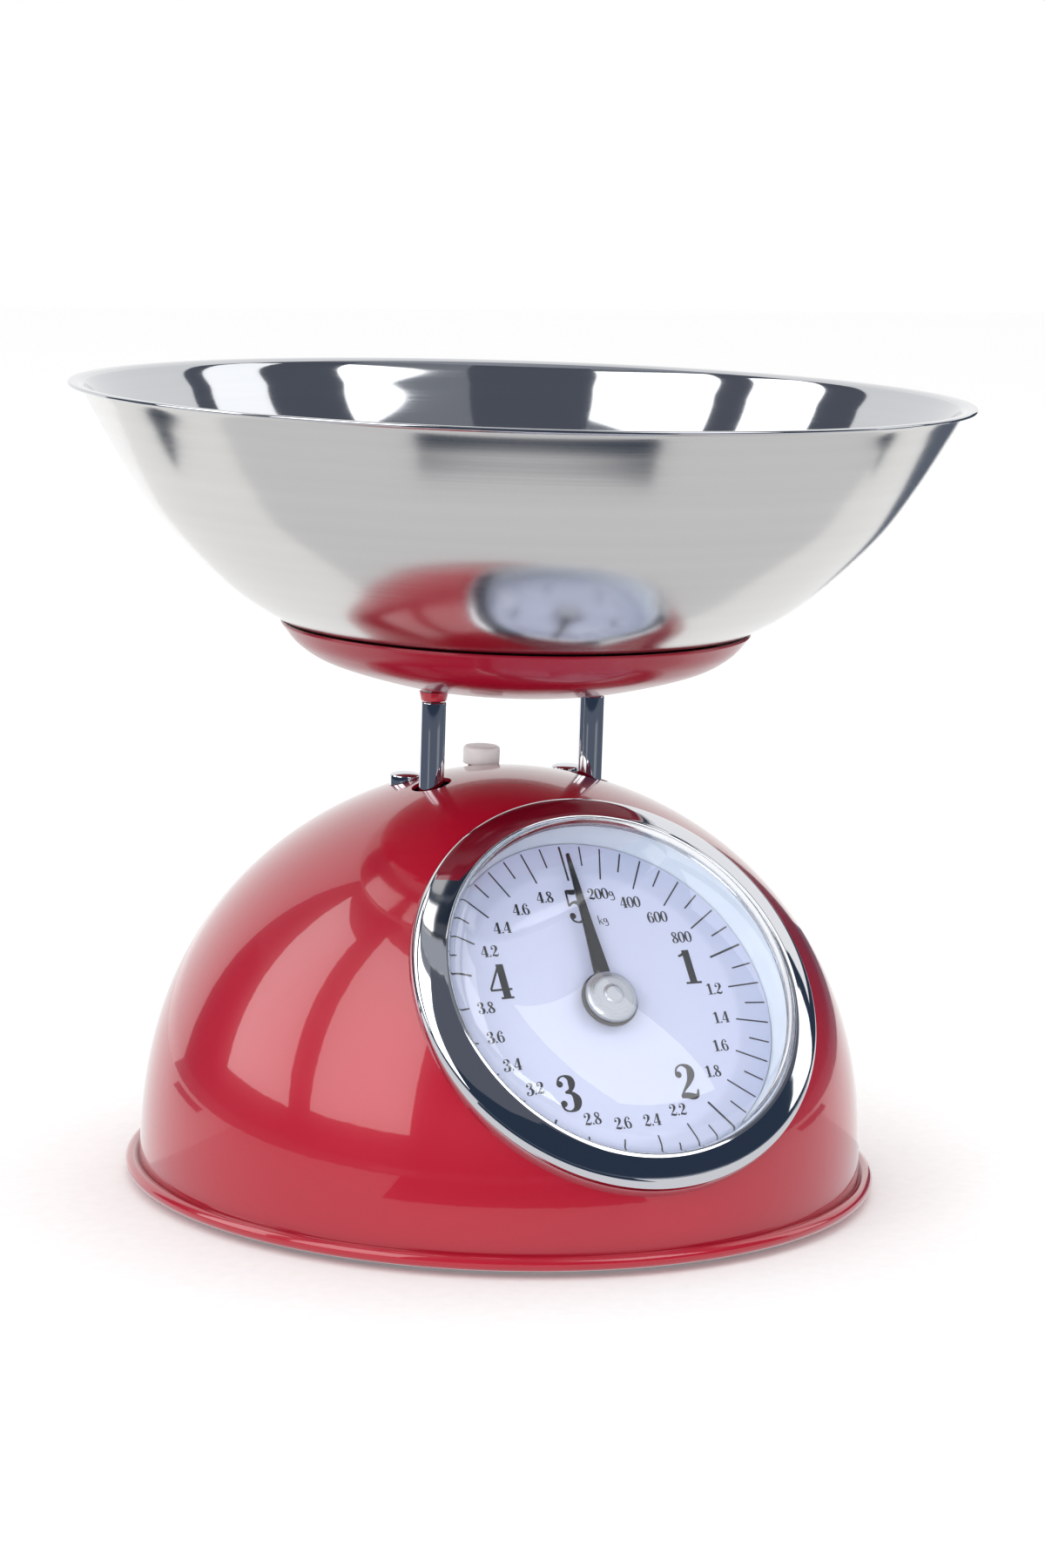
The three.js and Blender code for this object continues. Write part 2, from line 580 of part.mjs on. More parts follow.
// A U of sheet whose two legs hold the pinion shaft's bushes.
function movementBracket() {
  const half = BRACKET_WIDTH / 2;
  const footFront = -CUP_FLOOR_BACK - SEAT_GAP;
  const webEnd = -BRACKET_WEB_X + BRACKET_SHEET;
  const [, rearLeg] = legDepths;
  const footHalf = MOVEMENT_SCREW_Y + BRACKET_FOOT_EDGE;
  const web = box([-BRACKET_WEB_X, webEnd], [-half, half], [rearLeg, footFront]);
  const flange = box(
    [-BRACKET_WEB_X - BRACKET_FOOT, webEnd], [-footHalf, footHalf], [footFront - BRACKET_SHEET, footFront],
  );
  const legs = legDepths.flatMap((bottom) => [
    box([-BRACKET_WEB_X, 0], [-half, half], [bottom, bottom + BRACKET_SHEET]),
    rod(half, bottom, bottom + BRACKET_SHEET),
  ]);
  const bushHoles = legDepths.map((bottom) => {
    return rod(BUSH_RADIUS + SEAT_GAP, bottom - PAST, bottom + BRACKET_SHEET + PAST);
  });
  const screwHoles = movementScrews.map(([, y]) => {
    const hole = rod(SMALL_SCREW_RADIUS + SEAT_GAP, footFront - BRACKET_SHEET - PAST, footFront + PAST);
    return hole.translate(movementScrewX, y, 0);
  });
  return cut(join(web, flange, ...legs), ...bushHoles, ...screwHoles);
}

function movementScrew() {
  const seat = -CUP_FLOOR_BACK - 2 * SEAT_GAP - BRACKET_SHEET;
  const length = cupFloorFront - seat;
  const screw = panScrew(SMALL_SCREW_RADIUS, length, SMALL_SCREW_HEAD_RADIUS, SMALL_SCREW_HEAD);
  return screw.rotateX(Math.PI).translate(0, 0, seat);
}

// A bush with its flange on the side of the leg that faces away from the pinion. `way` is 1 in front.
function shaftBush(way) {
  const bore = SHAFT_RADIUS + RUN_GAP;
  const start = legOffset - SEAT_GAP;
  const step = start + BUSH_LENGTH;
  const end = step + BUSH_FLANGE;
  const body = revolve([
    [bore, start], [BUSH_RADIUS, start], [BUSH_RADIUS, step], [BUSH_FLANGE_RADIUS, step],
    [BUSH_FLANGE_RADIUS, end], [bore, end], [bore, start],
  ], SMALL_SIDES);
  const turned = way > 0 ? body : body.rotateX(Math.PI);
  return turned.translate(0, 0, -PINION_DEPTH);
}

// Half the angle that a pinion tooth spans at a radius: an involute above its base circle.
function toothHalfAngle(radius) {
  const involute = (angle) => Math.tan(angle) - angle;
  const baseRadius = pitchRadius * Math.cos(PRESSURE_ANGLE);
  const onFlank = Math.acos(Math.min(baseRadius / radius, 1));
  const atPitch = Math.PI / 2 / PINION_TEETH - TOOTH_GAP / pitchRadius;
  return atPitch + involute(PRESSURE_ANGLE) - involute(onFlank);
}

function pinionShaft() {
  const tip = pitchRadius + PINION_ADDENDUM;
  const root = pitchRadius - RACK_ADDENDUM - TOOTH_CLEARANCE;
  const radii = [root, pitchRadius, (pitchRadius + tip) / 2, tip];
  const outline = [];
  for (let tooth = 0; tooth < PINION_TEETH; tooth += 1) {
    const middle = (tooth * 2 * Math.PI) / PINION_TEETH;
    const rising = radii.map((r) => [r, middle - toothHalfAngle(r)]);
    const falling = radii.map((r) => [r, middle + toothHalfAngle(r)]).reverse();
    outline.push(...rising, ...falling);
  }
  const shape = new THREE.Shape(outline.map(([r, a]) => new THREE.Vector2(r * Math.cos(a), r * Math.sin(a))));
  const teeth = new THREE.ExtrudeGeometry(shape, { depth: PINION_LENGTH, bevelEnabled: false });
  teeth.translate(0, 0, -PINION_DEPTH - PINION_LENGTH / 2);
  const bushFace = legOffset - 2 * SEAT_GAP;
  const collar = rod(root, -PINION_DEPTH - bushFace, -PINION_DEPTH + bushFace);
  const shaftEnd = legOffset + BUSH_LENGTH + BUSH_FLANGE + SHAFT_END;
  const shaft = rod(SHAFT_RADIUS, -PINION_DEPTH - shaftEnd, POINTER_HEIGHT + POINTER_SHEET);
  return join(teeth, collar, shaft);
}

function pointer() {
  const outline = [
    [POINTER_ROOT_WIDTH / 2, 0], [POINTER_ROOT_WIDTH / 2, HUB_RADIUS],
    [POINTER_WAIST_WIDTH / 2, POINTER_WAIST], [POINTER_TIP_WIDTH / 2, POINTER_LENGTH],
  ];
  const mirrored = outline.map(([x, y]) => [-x, y]).reverse();
  const shape = new THREE.Shape([...outline, ...mirrored].map(([x, y]) => new THREE.Vector2(x, y)));
  const needle = new THREE.ExtrudeGeometry(shape, { depth: POINTER_SHEET, bevelEnabled: false });
  needle.translate(0, 0, POINTER_HEIGHT);
  const hub = rod(HUB_RADIUS, POINTER_HEIGHT, POINTER_HEIGHT + POINTER_SHEET, HUB_SIDES);
  const bore = rod(SHAFT_RADIUS + SEAT_GAP, POINTER_HEIGHT - PAST, POINTER_HEIGHT + POINTER_SHEET + PAST);
  return cut(join(needle, hub), bore);
}

function pointerCap() {
  const bottom = POINTER_HEIGHT + POINTER_SHEET + SEAT_GAP;
  const side = CAP_OUTLINE.map(([r, z]) => [r, bottom + z]);
  return revolve([[0, bottom], ...side, [0, side.at(-1)[1]]], HUB_SIDES);
}

// ---- Platform pieces ----
const rackTop = RACK_BELOW + travel; // above the pinion's axis at rest
const pinionCentre = dialCentre.clone().addScaledVector(dialOut, -PINION_DEPTH);
const carrierFront = -CARRIER_DEPTH / 2;
const rackFootFront = carrierFront - SEAT_GAP - CARRIER_SHEET;
const rackArmMiddle = pinionCentre.z + rackTop - RACK_ARM_HEIGHT / 2;
const rackArmX = pitchRadius + RACK_BACK / 2;
const rackScrews = [['left', rackArmX - RACK_SCREW_REACH], ['right', rackArmX + RACK_SCREW_REACH]];
const postBottom = carrierTop + SEAT_GAP;
const bossTop = dishFloor - SEAT_GAP;
const postTop = bossTop - BOSS_HEIGHT - SEAT_GAP;

// An upright bar whose tooth lines lie along the pinion's leaning axis.
function rack() {
  const pitch = Math.PI * TOOTH_MODULE;
  const gapAtTip = pitch / 4 + RACK_ADDENDUM * Math.tan(PRESSURE_ANGLE) + TOOTH_GAP;
  const rootDepth = PINION_ADDENDUM + TOOTH_CLEARANCE;
  const gapAtRoot = pitch / 4 - rootDepth * Math.tan(PRESSURE_ANGLE) + TOOTH_GAP;
  const tipX = pitchRadius - RACK_ADDENDUM;
  const rootX = pitchRadius + rootDepth;
  const backX = pitchRadius + RACK_BACK;
  const count = Math.ceil((rackTop + RACK_BELOW) / pitch);
  const front = [];
  for (let i = -count; i <= count; i += 1) {
    const y = i * pitch;
    front.push([tipX, y - gapAtTip], [rootX, y - gapAtRoot], [rootX, y + gapAtRoot], [tipX, y + gapAtTip]);
  }
  const reach = (count + 1) * pitch;
  const outline = [[backX, -reach], [tipX, -reach], ...front, [tipX, reach], [backX, reach]];
  const shape = new THREE.Shape(outline.map(([x, y]) => new THREE.Vector2(x, y)));
  const length = 3 * reach;
  const long = new THREE.ExtrudeGeometry(shape, { depth: length, bevelEnabled: false });
  long.translate(0, 0, -PINION_DEPTH - length / 2).applyMatrix4(dialMatrix);
  const halfDepth = RACK_DEPTH / 2;
  const { y, z } = pinionCentre;
  const bar = common(long, box([0, backX], [y - halfDepth, y + halfDepth], [z - RACK_BELOW, z + rackTop]));
  const armBottom = rackArmMiddle - RACK_ARM_HEIGHT / 2;
  const arm = box([rootX, backX], [y, rackFootFront + PAST], [armBottom, armBottom + RACK_ARM_HEIGHT]);
  const footHalf = RACK_SCREW_REACH + SMALL_SCREW_EDGE;
  const foot = box(
    [rackArmX - footHalf, rackArmX + footHalf], [rackFootFront, rackFootFront + CARRIER_SHEET],
    [rackArmMiddle - SMALL_SCREW_EDGE, rackArmMiddle + SMALL_SCREW_EDGE],
  );
  const screwHoles = rackScrews.map(([, x]) => {
    return rod(SMALL_SCREW_RADIUS + SEAT_GAP, -2 * CARRIER_SHEET, 2 * CARRIER_SHEET)
      .rotateX(Math.PI / 2).translate(x, rackFootFront, rackArmMiddle);
  });
  return cut(join(bar, arm, foot), ...screwHoles);
}

function rackScrew() {
  const length = 3 * CARRIER_SHEET;
  return panScrew(SMALL_SCREW_RADIUS, length, SMALL_SCREW_HEAD_RADIUS, SMALL_SCREW_HEAD).rotateX(Math.PI / 2);
}

function loadCarrier() {
  const halfDepth = CARRIER_DEPTH / 2;
  const wing = POST_SPACING / 2 + CARRIER_WING;
  const top = box([-wing, wing], [-halfDepth + CARRIER_TOP_INSET, halfDepth - CARRIER_TOP_INSET],
    [carrierTop - CARRIER_SHEET, carrierTop]);
  const inner = carrierHalf - CARRIER_SHEET;
  const plates = sidesOf(1).map(([, side]) => {
    const x = side > 0 ? [inner, carrierHalf] : [-carrierHalf, -inner];
    return box(x, [-halfDepth, halfDepth], [carrierBottom, carrierTop - CARRIER_SHEET / 2]);
  });
  const floorBack = KNOB_Y + SPRING_RADIUS + CARRIER_FLOOR_EDGE;
  const floor = box([-carrierHalf, carrierHalf], [-halfDepth, floorBack],
    [carrierBottom, carrierBottom + CARRIER_SHEET]);
  const front = box([-carrierHalf, carrierHalf], [-halfDepth, -halfDepth + CARRIER_SHEET],
    [carrierBottom, carrierTop - CARRIER_SHEET / 2]);
  const studs = sidesOf(springX).map(([, x]) => {
    const foot = carrierBottom + CARRIER_SHEET;
    return rod(STUD_RADIUS, foot - PAST, foot + STUD_HEIGHT).translate(x, KNOB_Y, 0);
  });
  const postHoles = sidesOf(POST_SPACING / 2).map(([, x]) => {
    const hole = rod(POST_SCREW_RADIUS + SEAT_GAP, carrierTop - 2 * CARRIER_SHEET, carrierTop + PAST);
    return hole.translate(x, 0, 0);
  });
  const pinHoles = Object.values(carrierPins).map((z) => crossRod(pinHoleRadius, carrierHalf + PAST, 0, z));
  const screwHoles = rackScrews.map(([, x]) => {
    return rod(SMALL_SCREW_RADIUS + SEAT_GAP, -PAST, 3 * CARRIER_SHEET)
      .rotateX(-Math.PI / 2).translate(x, -halfDepth, rackArmMiddle);
  });
  return cut(join(top, floor, front, ...plates, ...studs), ...postHoles, ...pinHoles, ...screwHoles);
}

function post() {
  const bore = POST_SCREW_RADIUS + SEAT_GAP;
  const lower = postBottom + POST_SCREW_BORE;
  const upper = postTop - POST_SCREW_BORE;
  return revolve([
    [0, lower], [bore, lower], [bore, postBottom], [POST_RADIUS, postBottom], [POST_RADIUS, postTop],
    [bore, postTop], [bore, upper], [0, upper],
  ], HUB_SIDES);
}

function postBoss() {
  const bore = POST_SCREW_RADIUS + SEAT_GAP;
  const bottom = bossTop - BOSS_HEIGHT;
  return revolve([
    [bore, bottom], [POST_RADIUS, bottom], [BOSS_TOP_RADIUS, bossTop], [bore, bossTop], [bore, bottom],
  ], HUB_SIDES);
}

function weighingDish() {
  const raise = ([r, z]) => [r, z + dishFloor];
  const shell = revolve([...dishUnderside, ...dishInside.slice().reverse()].map(raise), DISH_SIDES);
  const holes = sidesOf(POST_SPACING / 2).map(([, x]) => {
    return rod(POST_SCREW_RADIUS + SEAT_GAP, dishFloor - PAST, dishScrewSeat + PAST).translate(x, 0, 0);
  });
  return cut(shell, ...holes);
}

function bowl() {
  const inside = beside(bowlOutside, BOWL_WALL);
  return revolve([...bowlOutside, ...inside.reverse()].map(([r, z]) => [r, z + bowlFloor]), BOWL_SIDES);
}

// ---- Levers, with the frame pivot at the origin and the carrier end towards -Y ----
function lever() {
  const slotHalf = (LEVER_LENGTH * (1 - Math.cos(leverSwing))) / 2 + RUN_GAP;
  const end = LEVER_LENGTH + slotHalf;
  const outline = new THREE.Shape();
  outline.absarc(-end, 0, LEVER_HALF_HEIGHT, Math.PI / 2, (3 * Math.PI) / 2);
  outline.absarc(0, 0, LEVER_HALF_HEIGHT, -Math.PI / 2, Math.PI / 2);
  const pivotHole = new THREE.Path().absarc(0, 0, pinHoleRadius, 0, 2 * Math.PI);
  const slot = new THREE.Path();
  slot.absarc(-end, 0, pinHoleRadius, Math.PI / 2, (3 * Math.PI) / 2);
  slot.absarc(-LEVER_LENGTH + slotHalf, 0, pinHoleRadius, -Math.PI / 2, Math.PI / 2);
  outline.holes.push(pivotHole, slot);
  const arms = [
    sideOn(outline, leverArmInner, leverArmOuter),
    sideOn(outline, -leverArmOuter, -leverArmInner),
  ];
  const barEnd = leverArmInner + LEVER_SHEET / 2;
  const barBack = -CROSSBAR_FROM_PIVOT;
  const bar = box([-barEnd, barEnd], [barBack - CROSSBAR_WIDTH, barBack], [-LEVER_SHEET / 2, LEVER_SHEET / 2]);
  return join(bar, ...arms);
}

function pivotPin(halfLength) {
  return rod(PIN_RADIUS, -halfLength, halfLength).rotateY(Math.PI / 2);
}

// ---- Mechanism frame ----
function mechanismFrame() {
  const backY = leverPivotY + LEVER_HALF_HEIGHT + LEVER_GAP + FRAME_SHEET;
  const backBottom = framePins.lower - EAR_HALF_HEIGHT;
  const shoulder = framePlateTop - FRAME_SHOULDER;
  const upper = [
    [FRAME_FRONT_Y, framePlateTop], [FRAME_BEND_Y, framePlateTop], [backY, shoulder], [backY, backBottom],
  ];
  const lower = beside(upper, -FRAME_SHEET);
  const outline = [...lower, ...upper.reverse()].map(([y, z]) => new THREE.Vector2(y, z));
  const sheet = sideOn(new THREE.Shape(outline), -FRAME_HALF_WIDTH, FRAME_HALF_WIDTH);
  const earFront = leverPivotY - EAR_HALF_HEIGHT;
  const ears = Object.values(framePins).flatMap((z) => sidesOf(1).map(([, side]) => {
    const x = side > 0 ? [earInner, earOuter] : [-earOuter, -earInner];
    return box(x, [earFront, backY - FRAME_SHEET / 2], [z - EAR_HALF_HEIGHT, z + EAR_HALF_HEIGHT]);
  }));
  const pinHoles = Object.values(framePins).map((z) => crossRod(pinHoleRadius, earOuter + PAST, leverPivotY, z));
  const through = [framePlateBottom - PAST, framePlateTop + PAST];
  const screwHoles = sidesOf(FRAME_SCREW_X).map(([, x]) => {
    return rod(FRAME_SCREW_RADIUS + SEAT_GAP, ...through).translate(x, FRAME_SCREW_Y, 0);
  });
  const zeroHole = rod(ZERO_SCREW_RADIUS + RUN_GAP, ...through).translate(0, KNOB_Y, 0);
  return cut(join(sheet, ...ears), ...pinHoles, ...screwHoles, zeroHole);
}

function frameSpacer(x) {
  const blank = tube(FRAME_SCREW_RADIUS + SEAT_GAP, SPACER_RADIUS, framePlateTop + SEAT_GAP, domeTop);
  return common(blank.translate(x, FRAME_SCREW_Y, 0), domeSolid(-DOME_WALL - SEAT_GAP));
}

function frameScrew(x) {
  const top = domeHeightAt(frameScrewCircle) + FRAME_SCREW_HEAD;
  const skirt = domeHeightAt(frameScrewCircle + FRAME_SCREW_HEAD_RADIUS);
  const [r, rise] = [FRAME_SCREW_HEAD_RADIUS, FRAME_SCREW_HEAD];
  const head = revolve([
    [0, skirt - PAST], [r, skirt - PAST], [r, top - rise * 0.6], [r * 0.8, top - rise * 0.25],
    [r * 0.45, top - rise * 0.05], [0, top],
  ], SMALL_SIDES).translate(x, FRAME_SCREW_Y, 0);
  const end = framePlateBottom - SEAT_GAP - NUT_HEIGHT - SCREW_PAST_NUT;
  const shank = rod(FRAME_SCREW_RADIUS, end, top - rise / 2).translate(x, FRAME_SCREW_Y, 0);
  return join(cut(head, domeSolid(SEAT_GAP)), shank);
}

function frameNut() {
  const top = framePlateBottom - SEAT_GAP;
  const shape = new THREE.Shape(around(6, NUT_RADIUS, 0).map(({ x, y }) => new THREE.Vector2(x, y)));
  shape.holes.push(new THREE.Path().absarc(0, 0, FRAME_SCREW_RADIUS + SEAT_GAP, 0, 2 * Math.PI));
  const nut = new THREE.ExtrudeGeometry(shape, { depth: NUT_HEIGHT, bevelEnabled: false, curveSegments: 8 });
  return nut.translate(0, 0, top - NUT_HEIGHT);
}

// ---- Zero adjuster and springs ----
const zeroBushBore = ZERO_SCREW_RADIUS + RUN_GAP;
const zeroBushRadius = zeroBushBore + BUSH_WALL;
const knobBottom = domeHeightAt(KNOB_Y - KNOB_RADIUS) + KNOB_GAP;
const knobTop = knobBottom + KNOB_HEIGHT;
const knobBoreTop = knobTop - KNOB_BORE_DEPTH;
const bridgeTop = framePlateTop - BRIDGE_DROP;
const bridgeBottom = bridgeTop - BRIDGE_HEIGHT;

function zeroKnob() {
  const bore = ZERO_SCREW_RADIUS + SEAT_GAP;
  return revolve([
    [0, knobBoreTop], [bore, knobBoreTop], [bore, knobBottom], [KNOB_RADIUS, knobBottom],
    [KNOB_RADIUS, knobTop - KNOB_EDGE], [KNOB_RADIUS - KNOB_EDGE * 0.3, knobTop - KNOB_EDGE * 0.3],
    [KNOB_RADIUS - KNOB_EDGE, knobTop], [0, knobTop],
  ], HUB_SIDES);
}

function zeroScrew() {
  const collarTop = framePlateBottom - SEAT_GAP;
  const collarBottom = collarTop - ZERO_COLLAR_HEIGHT;
  const collarRadius = ZERO_SCREW_RADIUS + ZERO_COLLAR;
  const end = bridgeBottom - ZERO_SCREW_END;
  const r = ZERO_SCREW_RADIUS;
  return revolve([
    [0, end], [r, end], [r, collarBottom], [collarRadius, collarBottom], [collarRadius, collarTop],
    [r, collarTop], [r, knobBoreTop - SEAT_GAP], [0, knobBoreTop - SEAT_GAP],
  ], SMALL_SIDES);
}

function zeroBush() {
  return tube(zeroBushBore, zeroBushRadius, framePlateTop + SEAT_GAP, knobBottom - SEAT_GAP);
}

function springBridge() {
  const half = BRIDGE_WIDTH / 2;
  const bar = box([-BRIDGE_HALF_LENGTH, BRIDGE_HALF_LENGTH], [-half, half], [bridgeBottom, bridgeTop]);
  const collarTop = bridgeTop + BRIDGE_COLLAR;
  const collar = rod(ZERO_SCREW_RADIUS + BRIDGE_COLLAR, bridgeBottom + PAST, collarTop);
  const studs = sidesOf(springX).map(([, x]) => {
    return rod(STUD_RADIUS, bridgeBottom - STUD_HEIGHT, bridgeBottom + PAST).translate(x, 0, 0);
  });
  const bore = rod(ZERO_SCREW_RADIUS + RUN_GAP, bridgeBottom - PAST, collarTop + PAST);
  return cut(join(bar, collar, ...studs), bore);
}

class Helix extends THREE.Curve {
  constructor(radius, bottom, top, turns) {
    super();
    Object.assign(this, { radius, bottom, top, turns });
  }

  getPoint(t) {
    const angle = t * this.turns * 2 * Math.PI;
    const z = this.bottom + t * (this.top - this.bottom);
    return new THREE.Vector3(this.radius * Math.cos(angle), this.radius * Math.sin(angle), z);
  }
}

function spring() {
  const wireGap = SPRING_WIRE + SEAT_GAP;
  const bottom = carrierBottom + CARRIER_SHEET + wireGap;
  const path = new Helix(SPRING_RADIUS, bottom, bridgeBottom - wireGap, SPRING_TURNS);
  const wire = new THREE.Shape(around(4, SPRING_WIRE, 0).map(({ x, y }) => new THREE.Vector2(x, y)));
  const steps = SPRING_TURNS * SPRING_STEPS_PER_TURN;
  return new THREE.ExtrudeGeometry(wire, { extrudePath: path, steps, bevelEnabled: false });
}

// ---- Assembly ----
const group = new THREE.Group();

function place(name, geometry, finish, x = 0, y = 0, z = 0) {
  const mesh = piece(name, geometry, finish);
  mesh.position.set(x, y, z);
  group.add(mesh);
  return mesh;
}

place('dome_housing', domeHousing(), 'redEnamel');
place('base_plate', basePlate(), 'zincSteel');
feet.forEach(({ x, y }, i) => place(`foot_${i + 1}`, foot(), 'blackRubber', x, y));
lugs.forEach(({ x, y, angle }, i) => {
  place(`base_lug_${i + 1}`, baseLug(angle), 'zincSteel');
  place(`base_screw_${i + 1}`, baseScrew(), 'zincSteel', x, y);
});

const dialGroup = new THREE.Group();
dialGroup.applyMatrix4(dialMatrix);
group.add(dialGroup);
dialGroup.add(
  piece('dial_cup', dialCup(), 'whiteEnamel'),
  piece('dial_plate', dialPlate(), 'whiteEnamel'),
  piece('lens', lens(), 'clearAcrylic'),
  piece('bezel', bezel(), 'chrome'),
  piece('movement_bracket', movementBracket(), 'zincSteel'),
  piece('front_shaft_bush', shaftBush(1), 'brass'),
  piece('rear_shaft_bush', shaftBush(-1), 'brass'),
  piece('pinion_shaft', pinionShaft(), 'brass'),
  piece('pointer', pointer(), 'blackEnamel'),
  piece('pointer_cap', pointerCap(), 'spunAluminium'),
);
movementScrews.forEach(([where, y]) => {
  const mesh = piece(`movement_screw_${where}`, movementScrew(), 'zincSteel');
  mesh.position.set(movementScrewX, y, 0);
  dialGroup.add(mesh);
});

place('mechanism_frame', mechanismFrame(), 'zincSteel');
sidesOf(FRAME_SCREW_X).forEach(([side, x]) => {
  place(`frame_spacer_${side}`, frameSpacer(x), 'zincSteel');
  place(`frame_screw_${side}`, frameScrew(x), 'chrome');
  place(`frame_nut_${side}`, frameNut(), 'zincSteel', x, FRAME_SCREW_Y);
});
Object.entries(framePins).forEach(([level, z]) => {
  place(`${level}_frame_pin`, pivotPin(earOuter + PIN_END), 'zincSteel', 0, leverPivotY, z);
  const arm = place(`${level}_lever`, lever(), 'zincSteel', 0, leverPivotY, z);
  arm.rotation.x = -leverSwing;
});
Object.entries(carrierPins).forEach(([level, z]) => {
  place(`${level}_carrier_pin`, pivotPin(leverArmOuter + PIN_END), 'zincSteel', 0, 0, z);
});

place('zero_knob', zeroKnob(), 'milkPlastic', 0, KNOB_Y);
place('zero_screw', zeroScrew(), 'zincSteel', 0, KNOB_Y);
place('zero_bush', zeroBush(), 'brass', 0, KNOB_Y);
place('spring_bridge', springBridge(), 'zincSteel', 0, KNOB_Y);
sidesOf(springX).forEach(([side, x]) => place(`spring_${side}`, spring(), 'springSteel', x, KNOB_Y));

place('load_carrier', loadCarrier(), 'zincSteel');
place('rack', rack(), 'brass');
rackScrews.forEach(([side, x]) => {
  place(`rack_screw_${side}`, rackScrew(), 'zincSteel', x, rackFootFront - SEAT_GAP, rackArmMiddle);
});
sidesOf(POST_SPACING / 2).forEach(([side, x]) => {
  const dishScrewLength = dishScrewSeat - postTop + POST_SCREW_GRIP;
  const dishScrew = panScrew(POST_SCREW_RADIUS, dishScrewLength, DISH_SCREW_HEAD_RADIUS, DISH_SCREW_HEAD);
  const carrierScrewLength = CARRIER_SHEET + 2 * SEAT_GAP + POST_SCREW_GRIP;
  const carrierScrew = panScrew(
    POST_SCREW_RADIUS, carrierScrewLength, CARRIER_SCREW_HEAD_RADIUS, CARRIER_SCREW_HEAD,
  ).rotateX(Math.PI);
  place(`post_${side}`, post(), 'chrome', x);
  place(`post_boss_${side}`, postBoss(), 'redEnamel', x);
  place(`dish_screw_${side}`, dishScrew, 'zincSteel', x, 0, dishScrewSeat);
  place(`carrier_screw_${side}`, carrierScrew, 'zincSteel', x, 0, carrierTop - CARRIER_SHEET - SEAT_GAP);
});
place('weighing_dish', weighingDish(), 'redEnamel');
place('bowl', bowl(), 'satinSteel');

export default group;
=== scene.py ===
import json
import math

import bpy
import numpy as np
from mathutils import Matrix, Vector

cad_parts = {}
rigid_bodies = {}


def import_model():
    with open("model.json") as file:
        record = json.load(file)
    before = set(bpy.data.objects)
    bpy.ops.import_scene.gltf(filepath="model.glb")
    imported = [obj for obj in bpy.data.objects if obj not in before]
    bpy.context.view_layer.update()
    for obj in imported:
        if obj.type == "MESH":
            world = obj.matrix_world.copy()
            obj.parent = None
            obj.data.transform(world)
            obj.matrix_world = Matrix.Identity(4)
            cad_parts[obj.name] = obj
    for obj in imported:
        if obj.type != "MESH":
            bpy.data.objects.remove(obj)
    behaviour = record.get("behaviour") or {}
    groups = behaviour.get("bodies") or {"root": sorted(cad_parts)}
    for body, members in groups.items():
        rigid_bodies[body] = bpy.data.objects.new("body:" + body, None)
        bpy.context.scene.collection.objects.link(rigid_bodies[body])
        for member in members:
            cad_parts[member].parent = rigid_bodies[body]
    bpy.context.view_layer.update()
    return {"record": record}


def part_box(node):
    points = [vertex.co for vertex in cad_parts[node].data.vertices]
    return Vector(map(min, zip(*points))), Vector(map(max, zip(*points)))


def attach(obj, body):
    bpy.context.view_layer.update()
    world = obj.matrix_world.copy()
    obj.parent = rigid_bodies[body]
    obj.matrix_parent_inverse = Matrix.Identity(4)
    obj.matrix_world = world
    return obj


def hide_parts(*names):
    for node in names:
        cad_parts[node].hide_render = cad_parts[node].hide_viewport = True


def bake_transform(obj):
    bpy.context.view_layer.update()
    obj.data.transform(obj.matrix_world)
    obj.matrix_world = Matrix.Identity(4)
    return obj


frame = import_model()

# Kitchen scale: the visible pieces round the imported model.
MM = 0.001
TURN = 2 * math.pi
TINY = 1e-6


# ---- Mesh helpers ----
def flat_faces(counts, starts, loop, finishes):
    """The faces between each row of points and the next, and the finish number of each face."""
    around = np.arange(counts.max())
    after = (around + 1) % counts.max()
    last = len(counts) - 1
    pairs = [(i, i + 1) for i in range(last)] + ([(last, 0)] if loop else [])
    faces, kinds = [], []
    for low, high in pairs:
        below, above = starts[low] + around, starts[high] + around
        below_next, above_next = starts[low] + after, starts[high] + after
        if counts[low] == 1:
            rows = np.stack([np.full_like(around, starts[low]), above_next, above], -1)
        elif counts[high] == 1:
            rows = np.stack([below, below_next, np.full_like(around, starts[high])], -1)
        else:
            rows = np.stack([below, below_next, above_next, above], -1)
        faces += rows.tolist()
        kinds += [finishes[low]] * len(rows)
    return faces, kinds


def mesh_of(name, parts):
    """One mesh out of parts. A part is (grid, loop, finishes): rows of points that run around it, each
    joined to the next, the last to the first where it loops. A row that is one point closes to a pole."""
    points, faces, kinds, total = [], [], [], 0
    for grid, loop, finishes in parts:
        poles = np.ptp(grid, axis=1).max(axis=1) < TINY
        counts = np.where(poles, 1, grid.shape[1])
        starts = total + np.concatenate([[0], np.cumsum(counts)[:-1]])
        more, kind = flat_faces(counts, starts, loop, finishes or [0] * len(grid))
        points += [row[:count] for row, count in zip(grid, counts)]
        faces += more
        kinds += kind
        total += counts.sum()
    mesh = bpy.data.meshes.new(name)
    mesh.from_pydata((np.vstack(points) * MM).tolist(), [], faces)
    mesh.polygons.foreach_set("material_index", np.array(kinds, dtype=np.int32))
    return mesh


def placed(name, data):
    """A new object in the scene."""
    thing = bpy.data.objects.new(name, data)
    bpy.context.scene.collection.objects.link(thing)
    return thing


